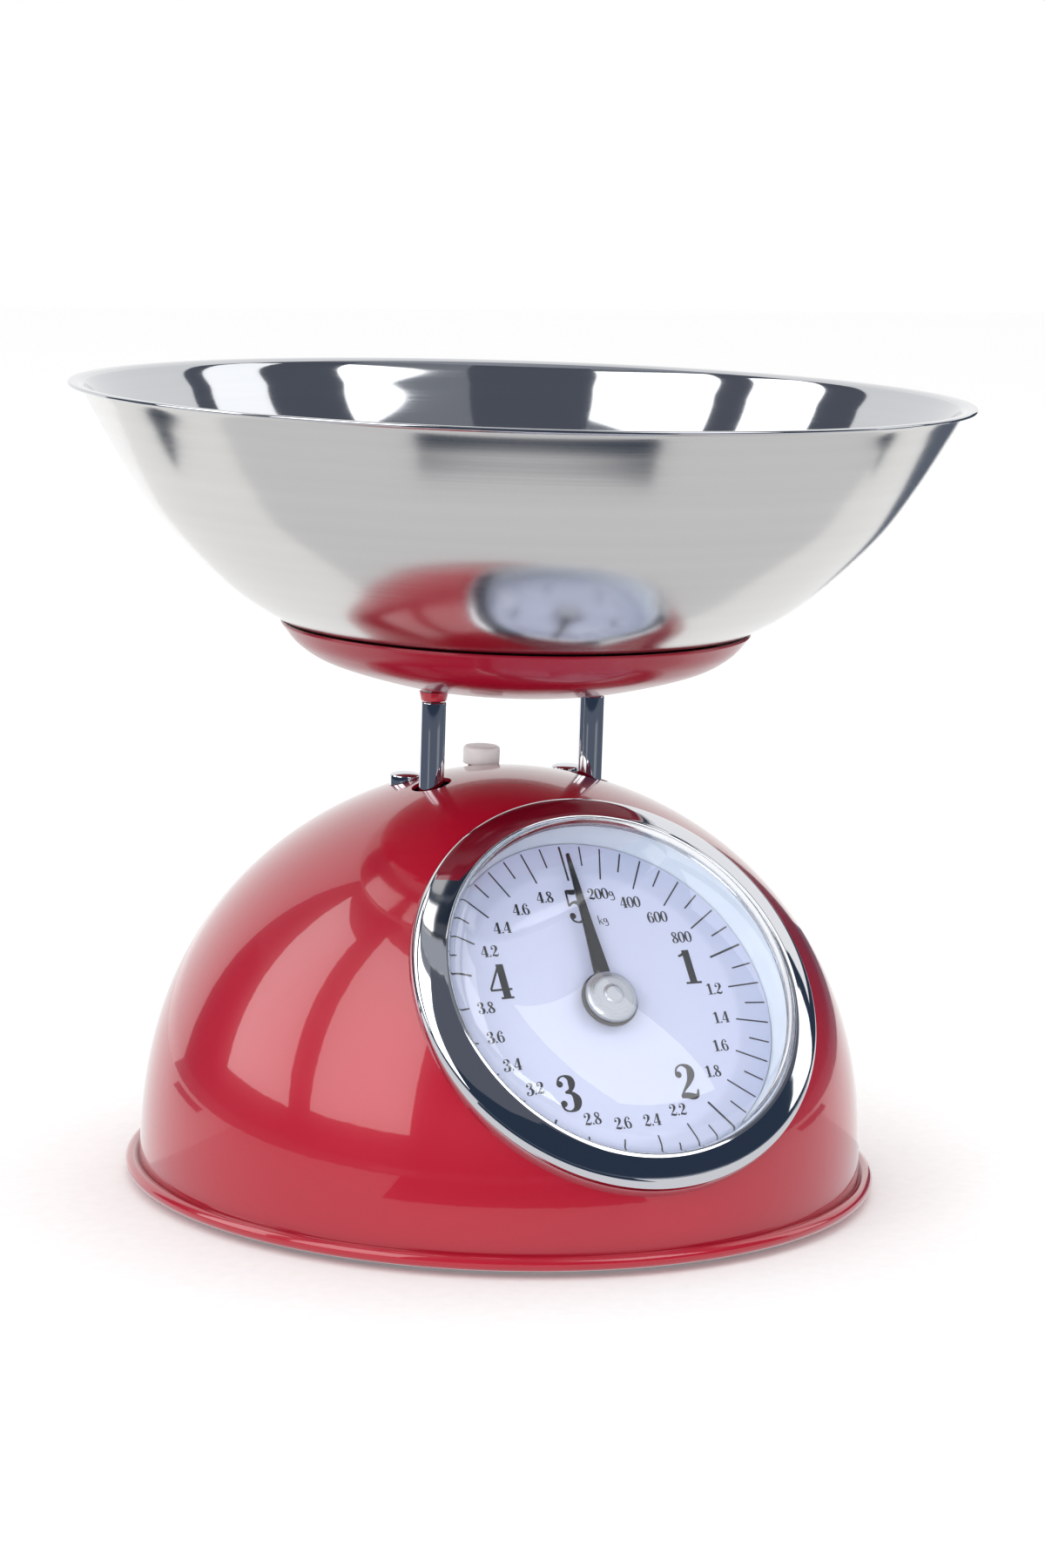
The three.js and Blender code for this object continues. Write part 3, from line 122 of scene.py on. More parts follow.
def skin(name, parts, materials, body, replaces=(), sharp=38):
    """One smooth piece out of parts, creased where its faces meet at more than `sharp` degrees."""
    mesh = mesh_of(name, parts)
    for material in materials:
        mesh.materials.append(material)
    mesh.polygons.foreach_set("use_smooth", np.ones(len(mesh.polygons), dtype=bool))
    mesh.set_sharp_from_angle(angle=math.radians(sharp))
    mesh.validate()
    piece = placed(name, mesh)
    if body:
        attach(piece, body)
    if replaces:
        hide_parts(*replaces)
    return piece


def turned(profile, columns, at=(0, 0, 0), matrix=None, loop=False, finishes=None):
    """A profile of (r, z) turned about Z: x = r cos a, y = r sin a, z = z, then moved by matrix and at."""
    profile = np.asarray(profile, dtype=float)
    angle = np.arange(columns) * TURN / columns
    r, z = profile[:, :1], profile[:, 1:2]
    grid = np.stack([r * np.cos(angle), r * np.sin(angle), z + 0 * angle], -1)
    return moved(grid, matrix) + np.array(at), loop, finishes


def round_rows(rows, angle, x=0, y=0):
    """Rows of (r, z) about an upright axis at (x, y): the point at each angle is
    (x + r cos angle, y + r sin angle, z). Either r or z may be one number or one for each angle."""
    return np.stack([
        np.stack([x + r * np.cos(angle), y + r * np.sin(angle), z + 0 * angle], -1) for r, z in rows
    ])


def moved(grid, matrix):
    """The points of a grid carried by a 4 x 4 matrix in millimetres."""
    if matrix is None:
        return grid
    m = np.array(matrix)
    return grid @ m[:3, :3].T + m[:3, 3]


def rounded(corners, steps=5):
    """A line whose corners (r, z, reach) are rounded: between the points `reach` before and after a
    corner it follows the quadratic curve that the corner pulls, (1-t)^2 A + 2t(1-t) corner + t^2 B."""
    points = np.array([c[:2] for c in corners], dtype=float)
    line = []
    for i, (*_, reach) in enumerate(corners):
        if reach == 0 or i in (0, len(corners) - 1):
            line.append(points[i][None])
            continue
        before, after = points[i - 1] - points[i], points[i + 1] - points[i]
        a = points[i] + before / np.linalg.norm(before) * reach
        b = points[i] + after / np.linalg.norm(after) * reach
        t = np.linspace(0, 1, steps + 1)[:, None]
        line.append((1 - t) ** 2 * a + 2 * t * (1 - t) * points[i] + t**2 * b)
    return np.vstack(line)


def smooth(points, steps=12):
    """The Catmull-Rom curve through the points, `steps` samples to a span."""
    p = np.asarray(points, dtype=float)
    p = np.vstack([2 * p[0] - p[1], p, 2 * p[-1] - p[-2]])
    t = np.linspace(0, 1, steps, endpoint=False)[:, None]
    spans = [
        0.5 * (2 * b + (c - a) * t + (2 * a - 5 * b + 4 * c - d) * t**2 + (3 * b - a - 3 * c + d) * t**3)
        for a, b, c, d in zip(p, p[1:], p[2:], p[3:])
    ]
    return np.vstack([*spans, p[-2][None]])


def beside(line, distance):
    """The line moved sideways, to the left of its direction: point + distance * (-dy, dx) / |(dx, dy)|.
    The distance is one number, or a column with one for each point."""
    step = np.gradient(line, axis=0)
    step /= np.linalg.norm(step, axis=1, keepdims=True).clip(TINY)
    return line + np.stack([-step[:, 1], step[:, 0]], -1) * distance


def half_round(start, end, steps=8):
    """A half circle from start to end, without its two ends: centre + arm cos(a) + side sin(a), where
    side is the arm turned by a quarter."""
    start, end = np.array(start, dtype=float), np.array(end, dtype=float)
    centre, arm = (start + end) / 2, (start - end) / 2
    side = np.array([-arm[1], arm[0]])
    angle = np.linspace(0, math.pi, steps + 1)[1:-1, None]
    return centre + arm * np.cos(angle) + side * np.sin(angle)


def wall(outside, thickness):
    """A closed sheet profile: the outside line, a half-round edge at its end, and the inside line back.
    The second result is the number of points on the outside line."""
    inside = beside(outside, thickness)
    inside[0, 0] = 0 if outside[0, 0] == 0 else inside[0, 0]
    return np.vstack([outside, half_round(outside[-1], inside[-1]), inside[::-1]]), len(outside)


# ---- Material helpers ----
def linear(colour):
    """An sRGB hex colour as linear RGBA: c / 12.92 up to 0.04045, then ((c + 0.055) / 1.055)^2.4."""
    channels = [int(colour[i : i + 2], 16) / 255 for i in (1, 3, 5)]
    return (*[c / 12.92 if c <= 0.04045 else ((c + 0.055) / 1.055) ** 2.4 for c in channels], 1.0)


def add(tree, kind, inputs=(), **settings):
    """One node with its settings. An input that is a socket is linked, any other value is set."""
    node = tree.nodes.new(kind)
    for key, value in settings.items():
        setattr(node, key, value)
    for key, value in dict(inputs).items():
        if isinstance(value, bpy.types.NodeSocket):
            tree.links.new(value, node.inputs[key])
        else:
            node.inputs[key].default_value = value
    return node


def new_material(name, settings):
    """A new material's tree and shader, with constants on the shader's own sockets."""
    made = bpy.data.materials.new(name)
    made.use_nodes = True
    shader = made.node_tree.nodes["Principled BSDF"]
    for key, value in settings.items():
        shader.inputs[key].default_value = linear(value) if isinstance(value, str) else value
    return made, made.node_tree, shader


def place_on(tree, matrix=None):
    """Object coordinates, turned into the frame of `matrix` where one is given."""
    point = add(tree, "ShaderNodeTexCoord").outputs["Object"]
    if matrix is None:
        return point
    turn = matrix.to_euler()
    centre = matrix.translation * MM
    frame_point = {"Vector": point, "Location": centre, "Rotation": turn}
    return add(tree, "ShaderNodeMapping", frame_point, vector_type="TEXTURE").outputs["Vector"]


def axis_distance(tree, point):
    """How far a point is from the local Z axis: the length of (x, y, 0)."""
    flat = add(tree, "ShaderNodeVectorMath", {0: point, 1: (1, 1, 0)}, operation="MULTIPLY")
    length = add(tree, "ShaderNodeVectorMath", {0: flat.outputs["Vector"]}, operation="LENGTH")
    return length.outputs["Value"]


def rings(tree, point):
    """(radius, 0, height) of a point: a pattern on it runs in circles about the local Z axis."""
    radius = axis_distance(tree, point)
    height = add(tree, "ShaderNodeSeparateXYZ", {"Vector": point}).outputs["Z"]
    return add(tree, "ShaderNodeCombineXYZ", {"X": radius, "Z": height}).outputs["Vector"]


def noise(tree, point, grain, detail=3.0, rough=0.5):
    """Noise whose lumps are about `grain` millimetres across."""
    settings = {"Vector": point, "Scale": 1 / (grain * MM), "Detail": detail, "Roughness": rough}
    return add(tree, "ShaderNodeTexNoise", settings).outputs["Fac"]


NOISE_SPAN = (0.3, 0.7)  # nearly all of the noise lies between these


def between(tree, factor, low, high):
    """A number that runs from low to high as the factor runs over the span of the noise."""
    start, end = NOISE_SPAN
    settings = {"Value": factor, "From Min": start, "From Max": end, "To Min": low, "To Max": high}
    return add(tree, "ShaderNodeMapRange", settings).outputs["Result"]


def shades(tree, factor, low, high, edges=NOISE_SPAN):
    """A colour that runs from low to high as the factor runs between the edges."""
    ramp = add(tree, "ShaderNodeValToRGB", {"Fac": factor})
    for stop, colour, edge in zip(ramp.color_ramp.elements, (low, high), edges):
        stop.color = linear(colour)
        stop.position = edge
    return ramp.outputs["Color"]


def relief(tree, shader, height, depth, coat=False):
    """Bump `depth` millimetres deep, under the clear coat too where there is one."""
    bump = add(tree, "ShaderNodeBump", {"Height": height, "Distance": depth * MM, "Strength": 1.0})
    tree.links.new(bump.outputs["Normal"], shader.inputs["Normal"])
    if coat:
        tree.links.new(bump.outputs["Normal"], shader.inputs["Coat Normal"])


# ---- Places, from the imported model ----
def corner(node, high, axis):
    """One coordinate of a node's lowest (high = 0) or highest (high = 1) corner, in millimetres."""
    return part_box(node)[high][axis] / MM


def middle(node, axis):
    """The middle of a node's box along one axis, in millimetres."""
    return (corner(node, 0, axis) + corner(node, 1, axis)) / 2


def rise(node):
    """The lowest and the highest Z of a node, in millimetres."""
    return corner(node, 0, 2), corner(node, 1, 2)


dial_joint = next(j for j in frame["record"]["behaviour"]["joints"] if j["name"] == "pointer_turn")
dial_lean = math.atan2(-dial_joint["axis"][2], dial_joint["axis"][1])
dial_frame = Matrix.Rotation(math.pi / 2 - dial_lean, 4, "X")
dial_frame.translation = Vector(dial_joint["pos_m"]) / MM
bowl_floor = corner("bowl", 0, 2)
dish_floor = corner("weighing_dish", 0, 2)
knob_y = middle("zero_knob", 1)
post_x = middle("post_right", 0)
screw_x, screw_y = middle("frame_screw_right", 0), middle("frame_screw_right", 1)

# ---- Sizes ----
# An outline is a list of (r, z) from the middle out; a third number is the reach of a rounded corner.
TABLE_GAP = 2  # the dome's foot stands clear of the table by this
DOME_RADIUS, DOME_HEIGHT, DOME_WALL = 102, 115, 1
DOME_PLAN, DOME_RISE = 1.87, 2.42  # (r / radius)^plan + (z / height)^rise = 1
DOME_TOP = TABLE_GAP + DOME_HEIGHT
INNER_STEPS, OUTER_STEPS = 40, 150  # rows of points up the dome's two skins
BEAD_RADIUS, BEAD_TURN, BEAD_POINTS = 2, (-90, 150), 19  # the bead runs between two angles in degrees
BEAD_CLEAR = 0.3  # between the bead and the first row of the dome above it
OPENING_RADIUS, OPENING_CUT = 51.9, (0, 60)  # the cut's ends are along the dial's axis
POST_HOLE, POST_CUT = 5.5, (-25, 5)  # the cut's ends are measured from the top of the dome
LEVEL_SEARCH, HALVINGS = (-20.0, 60.0), 40  # where the dome's surface is looked for, and how finely
SKIN_FIT, SKIN_FACING, BEAD_TOP = 0.05, 0.8, 7  # which corners are shaded along the dome's surface
POST_RADIUS, BOSS_FOOT_RADIUS, BOSS_TOP_RADIUS = 3.5, 3.55, 4.1
DIAL_RADIUS, DIAL_SHEET, DIAL_HOLE = 49, 1.1, 2
MARK_RING = (0.79, 0.83)  # shares of the dial's radius between which its paint turns greyer
CUP_RADIUS, CUP_WALL, CUP_BACK, CUP_RIM = 50.3, 1, 2.4, 12
LENS_RADIUS, LENS_WALL, LENS_FLANGE, LENS_RISE, LENS_POWER = 49.4, 1.4, 1.2, 12, 2.5
REST_GAP = 0.3  # between pieces that rest on each other round the dial
BEZEL_RADIUS, BEZEL_SLEEVE, SLEEVE_WALL, SLEEVE_FOOT = 58.4, 51.6, 1, 4
BEZEL_CURVE = [(58.35, 9.4), (58.1, 10.5), (57.2, 11.6), (55.5, 12.7), (53.5, 13.7), (51.4, 14.6)]
BEZEL_LIP = [(51.4, 14.6, 0), (50.1, 14.85, 0.6), (49.7, 13.8, 0.4), (51.3, 13.75, 0)]
POINTER_BACK, POINTER_SHEET = 3, 1
NEEDLE = [(0, 2.3), (8, 2.3), (14, 1.95), (22, 1.45), (32, 1.0), (44, 0.42)]  # distance, half width
NEEDLE_EDGE = 0.35  # the power that rounds the needle's section, from 1, round, to 0, square
HUB_RADIUS = 8
CAP_OUTLINE = [
    (0, 0, 0), (7.4, 0, 0.15), (7.4, 0.9, 0.4), (6.5, 1.7, 0.5), (5, 2.1, 0.6), (2.9, 2.1, 0.3),
    (2.6, 2.3, 0.1), (2.2, 2.6, 0.3), (0, 2.6, 0),
]
DISH_FLOOR = [(0, 0), (8, 0), (16, 0)]
DISH_OUTLINE = [(22, 0), (34.9, 2), (52.4, 7), (60.6, 11.6), (65.3, 17)]
BOWL_FLOOR = [(0, 0), (20, 0), (36, 0)]
BOWL_OUTLINE = [
    (42, 0), (54, 3.7), (63.6, 8.6), (77.5, 16.8), (89.2, 26.9), (100.8, 39.2), (109.9, 52.5),
    (117.6, 65.7), (120.8, 71.4),
]
BOWL_LIP = [(121.6, 72.15), (122.8, 72.5), (124.5, 72.6)]
SHEET = 1  # of the bowl and of the dish
KNOB_RADIUS, KNOB_HOLLOW, KNOB_SKIRT = 5.3, 4.4, 0.9
SCREW_HEAD_RADIUS, SCREW_SHANK_RADIUS = 4.4, 2
FOOT_OUTLINE = [
    (0, 0, 0), (8.2, 0, 0.5), (9, 0.8, 0.3), (8.6, 3.2, 0.3), (3, 3.3, 0.1), (3, 5.4, 0),
    (3.9, 5.45, 0.1),
]
FOOT_STEM = 3
WIRE_RADIUS, COIL_RADIUS, COIL_TURNS, COIL_STEPS, WIRE_SIDES = 0.42, 3.05, 34, 18, 8
BRIDGE_DROP = 1.2  # room over the springs for the bridge at its lowest
SKIN_GAP = 0.05  # between a piece's skirt and the dome that it sits on
# How many straight sides stand for each kind of circle.
BEZEL_SIDES, WIDE_SIDES, LENS_SIDES, ROUND_SIDES, HOLE_SIDES = 256, 224, 192, 160, 128
HUB_SIDES, KNOB_SIDES, ROD_SIDES, SHANK_SIDES, NEEDLE_SIDES = 96, 80, 64, 32, 24


def dome_height(radius):
    """Z of the dome's surface at a distance from its axis: table gap + height (1 - share)^(1 / rise),
    where the share is (r / radius)^plan."""
    share = np.minimum(radius / DOME_RADIUS, 1) ** DOME_PLAN
    return TABLE_GAP + DOME_HEIGHT * (1 - share) ** (1 / DOME_RISE)


def dome_line(radius, height, steps):
    """The dome's side: r = radius cos(a)^(2/plan), z = table gap + height sin(a)^(2/rise)."""
    angle = np.linspace(0, math.pi / 2, steps + 1)
    r = radius * np.cos(angle).clip(0) ** (2 / DOME_PLAN)
    r[-1] = 0
    return np.stack([r, TABLE_GAP + height * np.sin(angle) ** (2 / DOME_RISE)], -1)


def dome_gradient(points, radius, height):
    """Outward normals of the dome's surface, and how far each point is from it in millimetres: the slopes
    of f = (r / radius)^plan + (z / height)^rise - 1 along x, y and z, and |f| over their size."""
    r = np.linalg.norm(points[:, :2], axis=1).clip(TINY)
    z = (points[:, 2] - TABLE_GAP).clip(TINY)
    value = (r / radius) ** DOME_PLAN + (z / height) ** DOME_RISE - 1
    slope_r = DOME_PLAN / radius * (r / radius) ** (DOME_PLAN - 1)
    slope_z = DOME_RISE / height * (z / height) ** (DOME_RISE - 1)
    normal = np.stack([slope_r * points[:, 0] / r, slope_r * points[:, 1] / r, slope_z], -1)
    size = np.linalg.norm(normal, axis=1)
    return normal / size[:, None], np.abs(value) / size


# ---- Finishes ----
def red_enamel(name, colours, coat):
    """Stoved enamel on pressed steel: deep gloss over a body colour that hardly varies, with a faint
    orange peel 3 mm across."""
    made, tree, shader = new_material(name, {
        "Roughness": 0.22, "Coat Weight": coat, "Coat Roughness": 0.035, "Coat IOR": 1.52,
        "Specular IOR Level": 0.35,
    })
    point = place_on(tree)
    colour = shades(tree, noise(tree, point, 60), *colours)
    tree.links.new(colour, shader.inputs["Base Color"])
    relief(tree, shader, noise(tree, point, 3.0, detail=1.0), 0.006, coat=True)
    return made


def chrome_plate():
    """Bright chrome plate: a mirror with the least haze where it has been handled."""
    made, tree, shader = new_material("chrome_plate", {"Base Color": "#DDDFE4", "Metallic": 1.0})
    point = place_on(tree)
    tree.links.new(between(tree, noise(tree, point, 14), 0.03, 0.07), shader.inputs["Roughness"])
    relief(tree, shader, noise(tree, point, 9, detail=1.0), 0.01)
    return made


def spun_steel(name, colours, roughness, depth):
    """Stainless steel spun on a lathe: circular lines 0.4 mm apart, drawn wider than the real 0.1 mm."""
    made, tree, shader = new_material(name, {"Metallic": 1.0})
    point = place_on(tree)
    circles = rings(tree, point)
    lines = noise(tree, circles, 0.4, detail=2.0)
    wide = noise(tree, circles, 7, detail=2.0)
    tree.links.new(shades(tree, wide, *colours), shader.inputs["Base Color"])
    tree.links.new(between(tree, lines, *roughness), shader.inputs["Roughness"])
    relief(tree, shader, lines, depth)
    return made


def dial_paint():
    """Satin paint on the dial sheet, a shade greyer in the ring that carries the marks, with a fine
    grain that breaks up the gloss."""
    made, tree, shader = new_material("dial_paint", {"Roughness": 0.33, "Specular IOR Level": 0.6})
    point = place_on(tree, dial_frame)
    scale = {"Value": axis_distance(tree, point), "From Min": 0, "From Max": DIAL_RADIUS * MM}
    share = add(tree, "ShaderNodeMapRange", scale).outputs["Result"]
    tree.links.new(shades(tree, share, "#C2C6DD", "#B6BBD2", MARK_RING), shader.inputs["Base Color"])
    relief(tree, shader, noise(tree, point, 0.6), 0.004)
    return made


def cup_paint():
    """Pale matt paint inside the dial's cup: soft and even, with a slight cloudiness."""
    made, tree, shader = new_material("cup_paint", {"Roughness": 0.45})
    point = place_on(tree)
    tree.links.new(shades(tree, noise(tree, point, 12), "#D3DCE6", "#DCE4EC"), shader.inputs["Base Color"])
    relief(tree, shader, noise(tree, point, 0.8), 0.005)
    return made


def clear_acrylic():
    """Moulded clear acrylic, polished: water-clear with a faint cool cast, and waves from the mould that
    just bend its reflections."""
    made, tree, shader = new_material("clear_acrylic", {
        "Base Color": "#FAFCFF", "Roughness": 0.0, "IOR": 1.49, "Transmission Weight": 1.0,
    })
    relief(tree, shader, noise(tree, place_on(tree, dial_frame), 25, detail=1.0), 0.01)
    return made


def painted(name, colours, roughness, grain, depth):
    """Paint or ink over a fine grain: a little lighter on its crests."""
    made, tree, shader = new_material(name, {"Roughness": roughness})
    point = place_on(tree)
    lumps = noise(tree, point, grain)
    tree.links.new(shades(tree, lumps, *colours), shader.inputs["Base Color"])
    relief(tree, shader, lumps, depth)
    return made


def spun_aluminium():
    """A turned aluminium cap: circular tool lines 0.3 mm apart about the pointer's axis."""
    made, tree, shader = new_material("spun_aluminium", {"Metallic": 1.0, "Base Color": "#B9BBC1"})
    circles = rings(tree, place_on(tree, dial_frame))
    lines = noise(tree, circles, 0.3, detail=1.0)
    tree.links.new(between(tree, lines, 0.24, 0.42), shader.inputs["Roughness"])
    relief(tree, shader, lines, 0.01)
    return made


def milky_plastic():
    """Moulded polypropylene: light goes some 2 mm in, so its edges glow."""
    made, tree, shader = new_material("milky_plastic", {
        "Base Color": "#FBFBFD", "Roughness": 0.32, "Subsurface Weight": 0.7,
        "Subsurface Radius": (1.0, 0.95, 0.95), "Subsurface Scale": 2.0 * MM,
    })
    relief(tree, shader, noise(tree, place_on(tree), 0.5), 0.003)
    return made


def plain_metal(name, colours, roughness, grain, depth):
    """Bare or plated metal: its tone and its haze both follow one mottle, and its relief is six times
    finer."""
    made, tree, shader = new_material(name, {"Metallic": 1.0})
    point = place_on(tree)
    mottle = noise(tree, point, grain)
    tree.links.new(shades(tree, mottle, *colours), shader.inputs["Base Color"])
    tree.links.new(between(tree, mottle, *roughness), shader.inputs["Roughness"])
    relief(tree, shader, noise(tree, point, grain / 6), depth)
    return made


def black_rubber():
    """Moulded rubber: matt, with a fine grain."""
    return painted("black_rubber", ("#151516", "#1F1F20"), 0.78, 0.4, 0.02)


ENAMEL = red_enamel("red_enamel", ("#A30F27", "#A9122B"), 1.0)
# The dish's enamel is the dome's red painted darker, as painted shade from the bowl above it; its clear
# coat is thinner.
DISH_ENAMEL_PAINTED_SHADE = red_enamel("dish_enamel_painted_shade", ("#850B22", "#8B0D26"), 0.3)
CHROME = chrome_plate()
# The bowl's outside is left brushed from the lathe; its inside is polished nearly to a mirror.
SATIN_STEEL = spun_steel("satin_steel", ("#D2D1CF", "#D6D5D4"), (0.13, 0.18), 0.0004)
BRIGHT_STEEL = spun_steel("bright_steel", ("#C4C6CA", "#CACCD0"), (0.045, 0.07), 0.0002)
DIAL_PAINT = dial_paint()
CUP_PAINT = cup_paint()
ACRYLIC = clear_acrylic()
# Screen-printed ink lies flat and dull; lacquer sprayed on the pointer has a low, even gloss.
INK = painted("printing_ink", ("#07070D", "#0C0C14"), 0.5, 0.3, 0.002)
BLACK_LACQUER = painted("black_lacquer", ("#06070B", "#0A0B10"), 0.3, 0.5, 0.003)
ALUMINIUM = spun_aluminium()
MILKY = milky_plastic()
# Zinc plate is clouded grey; drawn wire is darker with an oily sheen; turned brass is warm and bright.
ZINC = plain_metal("zinc_plate", ("#8E9093", "#A3A5A8"), (0.3, 0.46), 3, 0.01)
WIRE = plain_metal("spring_wire", ("#77797D", "#8B8D91"), (0.24, 0.34), 0.8, 0.004)
BRASS = plain_metal("turned_brass", ("#B08D45", "#C09C50"), (0.2, 0.3), 1.5, 0.004)
RUBBER = black_rubber()

BY_SLOT = {
    "red_enamel": ENAMEL, "satin_steel": SATIN_STEEL, "chrome": CHROME, "white_enamel": CUP_PAINT,
    "clear_lens": ACRYLIC, "black_enamel": BLACK_LACQUER, "spun_aluminium": ALUMINIUM,
    "milk_plastic": MILKY, "zinc_steel": ZINC, "spring_steel": WIRE, "brass": BRASS,
    "black_rubber": RUBBER,
}


def dress_carried_nodes():
    """Every CAD node that stays gets the finish of its slot."""
    for part in frame["record"]["subparts"]:
        node = bpy.data.objects[part["node"]]
        node.data.materials.clear()
        node.data.materials.append(BY_SLOT[part["material_slot"]])


# ---- Housing ----
def drill(name, radius, low, high, matrix):
    """A cylinder that cuts a hole along the matrix's Z axis."""
    side = [(0, low), (radius, low), (radius, high), (0, high)]
    return placed(name, mesh_of(name, [turned(side, HOLE_SIDES, matrix=matrix)]))


def cut_holes(piece, tools):
    """The piece's mesh with the tools' holes cut out of it."""
    for tool in tools:
        modifier = piece.modifiers.new(tool.name, "BOOLEAN")
        modifier.operation, modifier.solver, modifier.object = "DIFFERENCE", "EXACT", tool
    evaluated = piece.evaluated_get(bpy.context.evaluated_depsgraph_get())
    result = bpy.data.meshes.new_from_object(evaluated)
    piece.modifiers.clear()
    before, piece.data = piece.data, result
    result.name = piece.name
    bpy.data.meshes.remove(before)
    for tool in tools:
        bpy.data.meshes.remove(tool.data)


def shade_as_dome(mesh):
    """Each corner on the dome's skins is shaded along the true surface, so the cuts leave no mark. It is
    on a skin when it lies near that surface, its face looks the same way, and it is above the bead."""
    points = np.empty(len(mesh.vertices) * 3)
    mesh.vertices.foreach_get("co", points)
    points = points.reshape(-1, 3) / MM
    corners = np.empty(len(mesh.loops), dtype=np.int32)
    mesh.loops.foreach_get("vertex_index", corners)
    sizes = np.empty(len(mesh.polygons), dtype=np.int32)
    mesh.polygons.foreach_get("loop_total", sizes)
    flat = np.empty(len(mesh.polygons) * 3)
    mesh.polygons.foreach_get("normal", flat)
    facing = np.repeat(flat.reshape(-1, 3), sizes, axis=0)
    own = np.empty(len(mesh.loops) * 3)
    mesh.corner_normals.foreach_get("vector", own)
    normals = own.reshape(-1, 3).copy()
    for way, inset in ((1, 0), (-1, DOME_WALL)):
        out, distance = dome_gradient(points, DOME_RADIUS - inset, DOME_HEIGHT - inset)
        out, distance = way * out[corners], distance[corners]
        fits = (distance < SKIN_FIT) & ((out * facing).sum(axis=1) > SKIN_FACING)
        fits &= points[corners, 2] > BEAD_TOP
        normals[fits] = out[fits]
    mesh.normals_split_custom_set(normals)


def dome_housing():
    """The pressed dome: a superellipse turned about Z, 1 mm thick, rolled into a bead at its foot."""
    inner = dome_line(DOME_RADIUS - DOME_WALL, DOME_HEIGHT - DOME_WALL, INNER_STEPS)[::-1]
    angle = np.radians(np.linspace(*BEAD_TURN, BEAD_POINTS))
    bead = np.stack([
        DOME_RADIUS + BEAD_RADIUS * (1 + np.cos(angle)), TABLE_GAP + BEAD_RADIUS * (1 + np.sin(angle)),
    ], -1)
    outer = dome_line(DOME_RADIUS, DOME_HEIGHT, OUTER_STEPS)
    outer = outer[outer[:, 1] > bead[-1, 1] + BEAD_CLEAR]
    part = turned(np.vstack([inner, bead, outer]), WIDE_SIDES)
    piece = skin("enamel_dome", [part], [ENAMEL], "housing", ["dome_housing"])
    tools = [drill("dial_hole", OPENING_RADIUS, *OPENING_CUT, dial_frame)]
    low, high = (DOME_TOP + end for end in POST_CUT)
    for i, x in enumerate((-post_x, post_x)):
        tools.append(drill(f"post_hole_{i}", POST_HOLE, low, high, Matrix.Translation((x, 0, 0))))
    cut_holes(piece, tools)
    shade_as_dome(piece.data)
    return piece


def dome_level(x, y):
    """How far along the dial's axis the dome's surface lies above the dial face, by bisection."""
    low, high = (np.full(x.shape, end) for end in LEVEL_SEARCH)
    for _ in range(HALVINGS):
        half = (low + high) / 2
        point = moved(np.stack([x, y, half], -1), dial_frame)
        r = np.hypot(point[..., 0], point[..., 1]) / DOME_RADIUS
        z = ((point[..., 2] - TABLE_GAP) / DOME_HEIGHT).clip(0)
        inside = r**DOME_PLAN + z**DOME_RISE < 1
        low, high = np.where(inside, half, low), np.where(inside, high, half)
    return low


def bezel():
    """A chrome ring about the dial's axis: each row of its profile (r, z) is turned, and z follows the
    dome's surface where the row is the foot of the outer skirt or the top of the inner sleeve."""
    angle = np.arange(BEZEL_SIDES) * TURN / BEZEL_SIDES
    shoulder = BEZEL_CURVE[0][1]
    level = dome_level(BEZEL_RADIUS * np.cos(angle), BEZEL_RADIUS * np.sin(angle))
    skirt = np.minimum(level + SKIN_GAP, shoulder - 0.3)
    sleeve_top = dome_level(BEZEL_SLEEVE * np.cos(angle), BEZEL_SLEEVE * np.sin(angle)) + SKIN_GAP
    rows = [(BEZEL_SLEEVE - SLEEVE_WALL, SLEEVE_FOOT), (BEZEL_SLEEVE, SLEEVE_FOOT)]
    rows += [(BEZEL_SLEEVE, sleeve_top), (BEZEL_RADIUS - 0.5, skirt), (BEZEL_RADIUS - 0.12, skirt)]
    rows += [(BEZEL_RADIUS, skirt + 0.15), (BEZEL_RADIUS, np.maximum(skirt + 0.2, shoulder - 0.35))]
    rows += np.vstack([smooth(BEZEL_CURVE, 5), rounded(BEZEL_LIP)[1:]]).tolist()
    part = (moved(round_rows(rows, angle), dial_frame), True, None)
    return skin("chrome_bezel", [part], [CHROME], "housing", ["bezel"], sharp=50)


def dial_cup():
    """The pan behind the dial: a flat floor and an upright side, turned about the dial's axis."""
    inside, floor = CUP_RADIUS - CUP_WALL, -DIAL_SHEET - REST_GAP
    profile = rounded([
        (0, -CUP_BACK, 0), (CUP_RADIUS, -CUP_BACK, 0.6), (CUP_RADIUS, CUP_RIM, 0.2),
        (inside, CUP_RIM, 0.2), (inside, floor, 0.2), (0, floor, 0),
    ])
    part = turned(profile, ROUND_SIDES, matrix=dial_frame)
    return skin("cup_wall", [part], [CUP_PAINT], "housing", ["dial_cup"])


def dial_plate():
    """The painted disc: a flat section turned about the dial's axis, with a hole for the shaft."""
    profile = rounded([
        (DIAL_HOLE, -DIAL_SHEET, 0), (DIAL_RADIUS, -DIAL_SHEET, 0.15), (DIAL_RADIUS, 0, 0.15),
        (DIAL_HOLE, 0, 0),
    ], 3)
    part = turned(profile, ROUND_SIDES, matrix=dial_frame, loop=True)
    return skin("dial_disc", [part], [DIAL_PAINT], "housing", ["dial_plate"])


def lens_line(radius, height, base):
    """The lens's side: r = radius cos(a)^(2/power), z = base + height sin(a)^(2/power)."""
    angle = np.linspace(0, math.pi / 2, INNER_STEPS + 1)
    r = radius * np.cos(angle).clip(0) ** (2 / LENS_POWER)
    r[-1] = 0
    return np.stack([r, base + height * np.sin(angle) ** (2 / LENS_POWER)], -1)


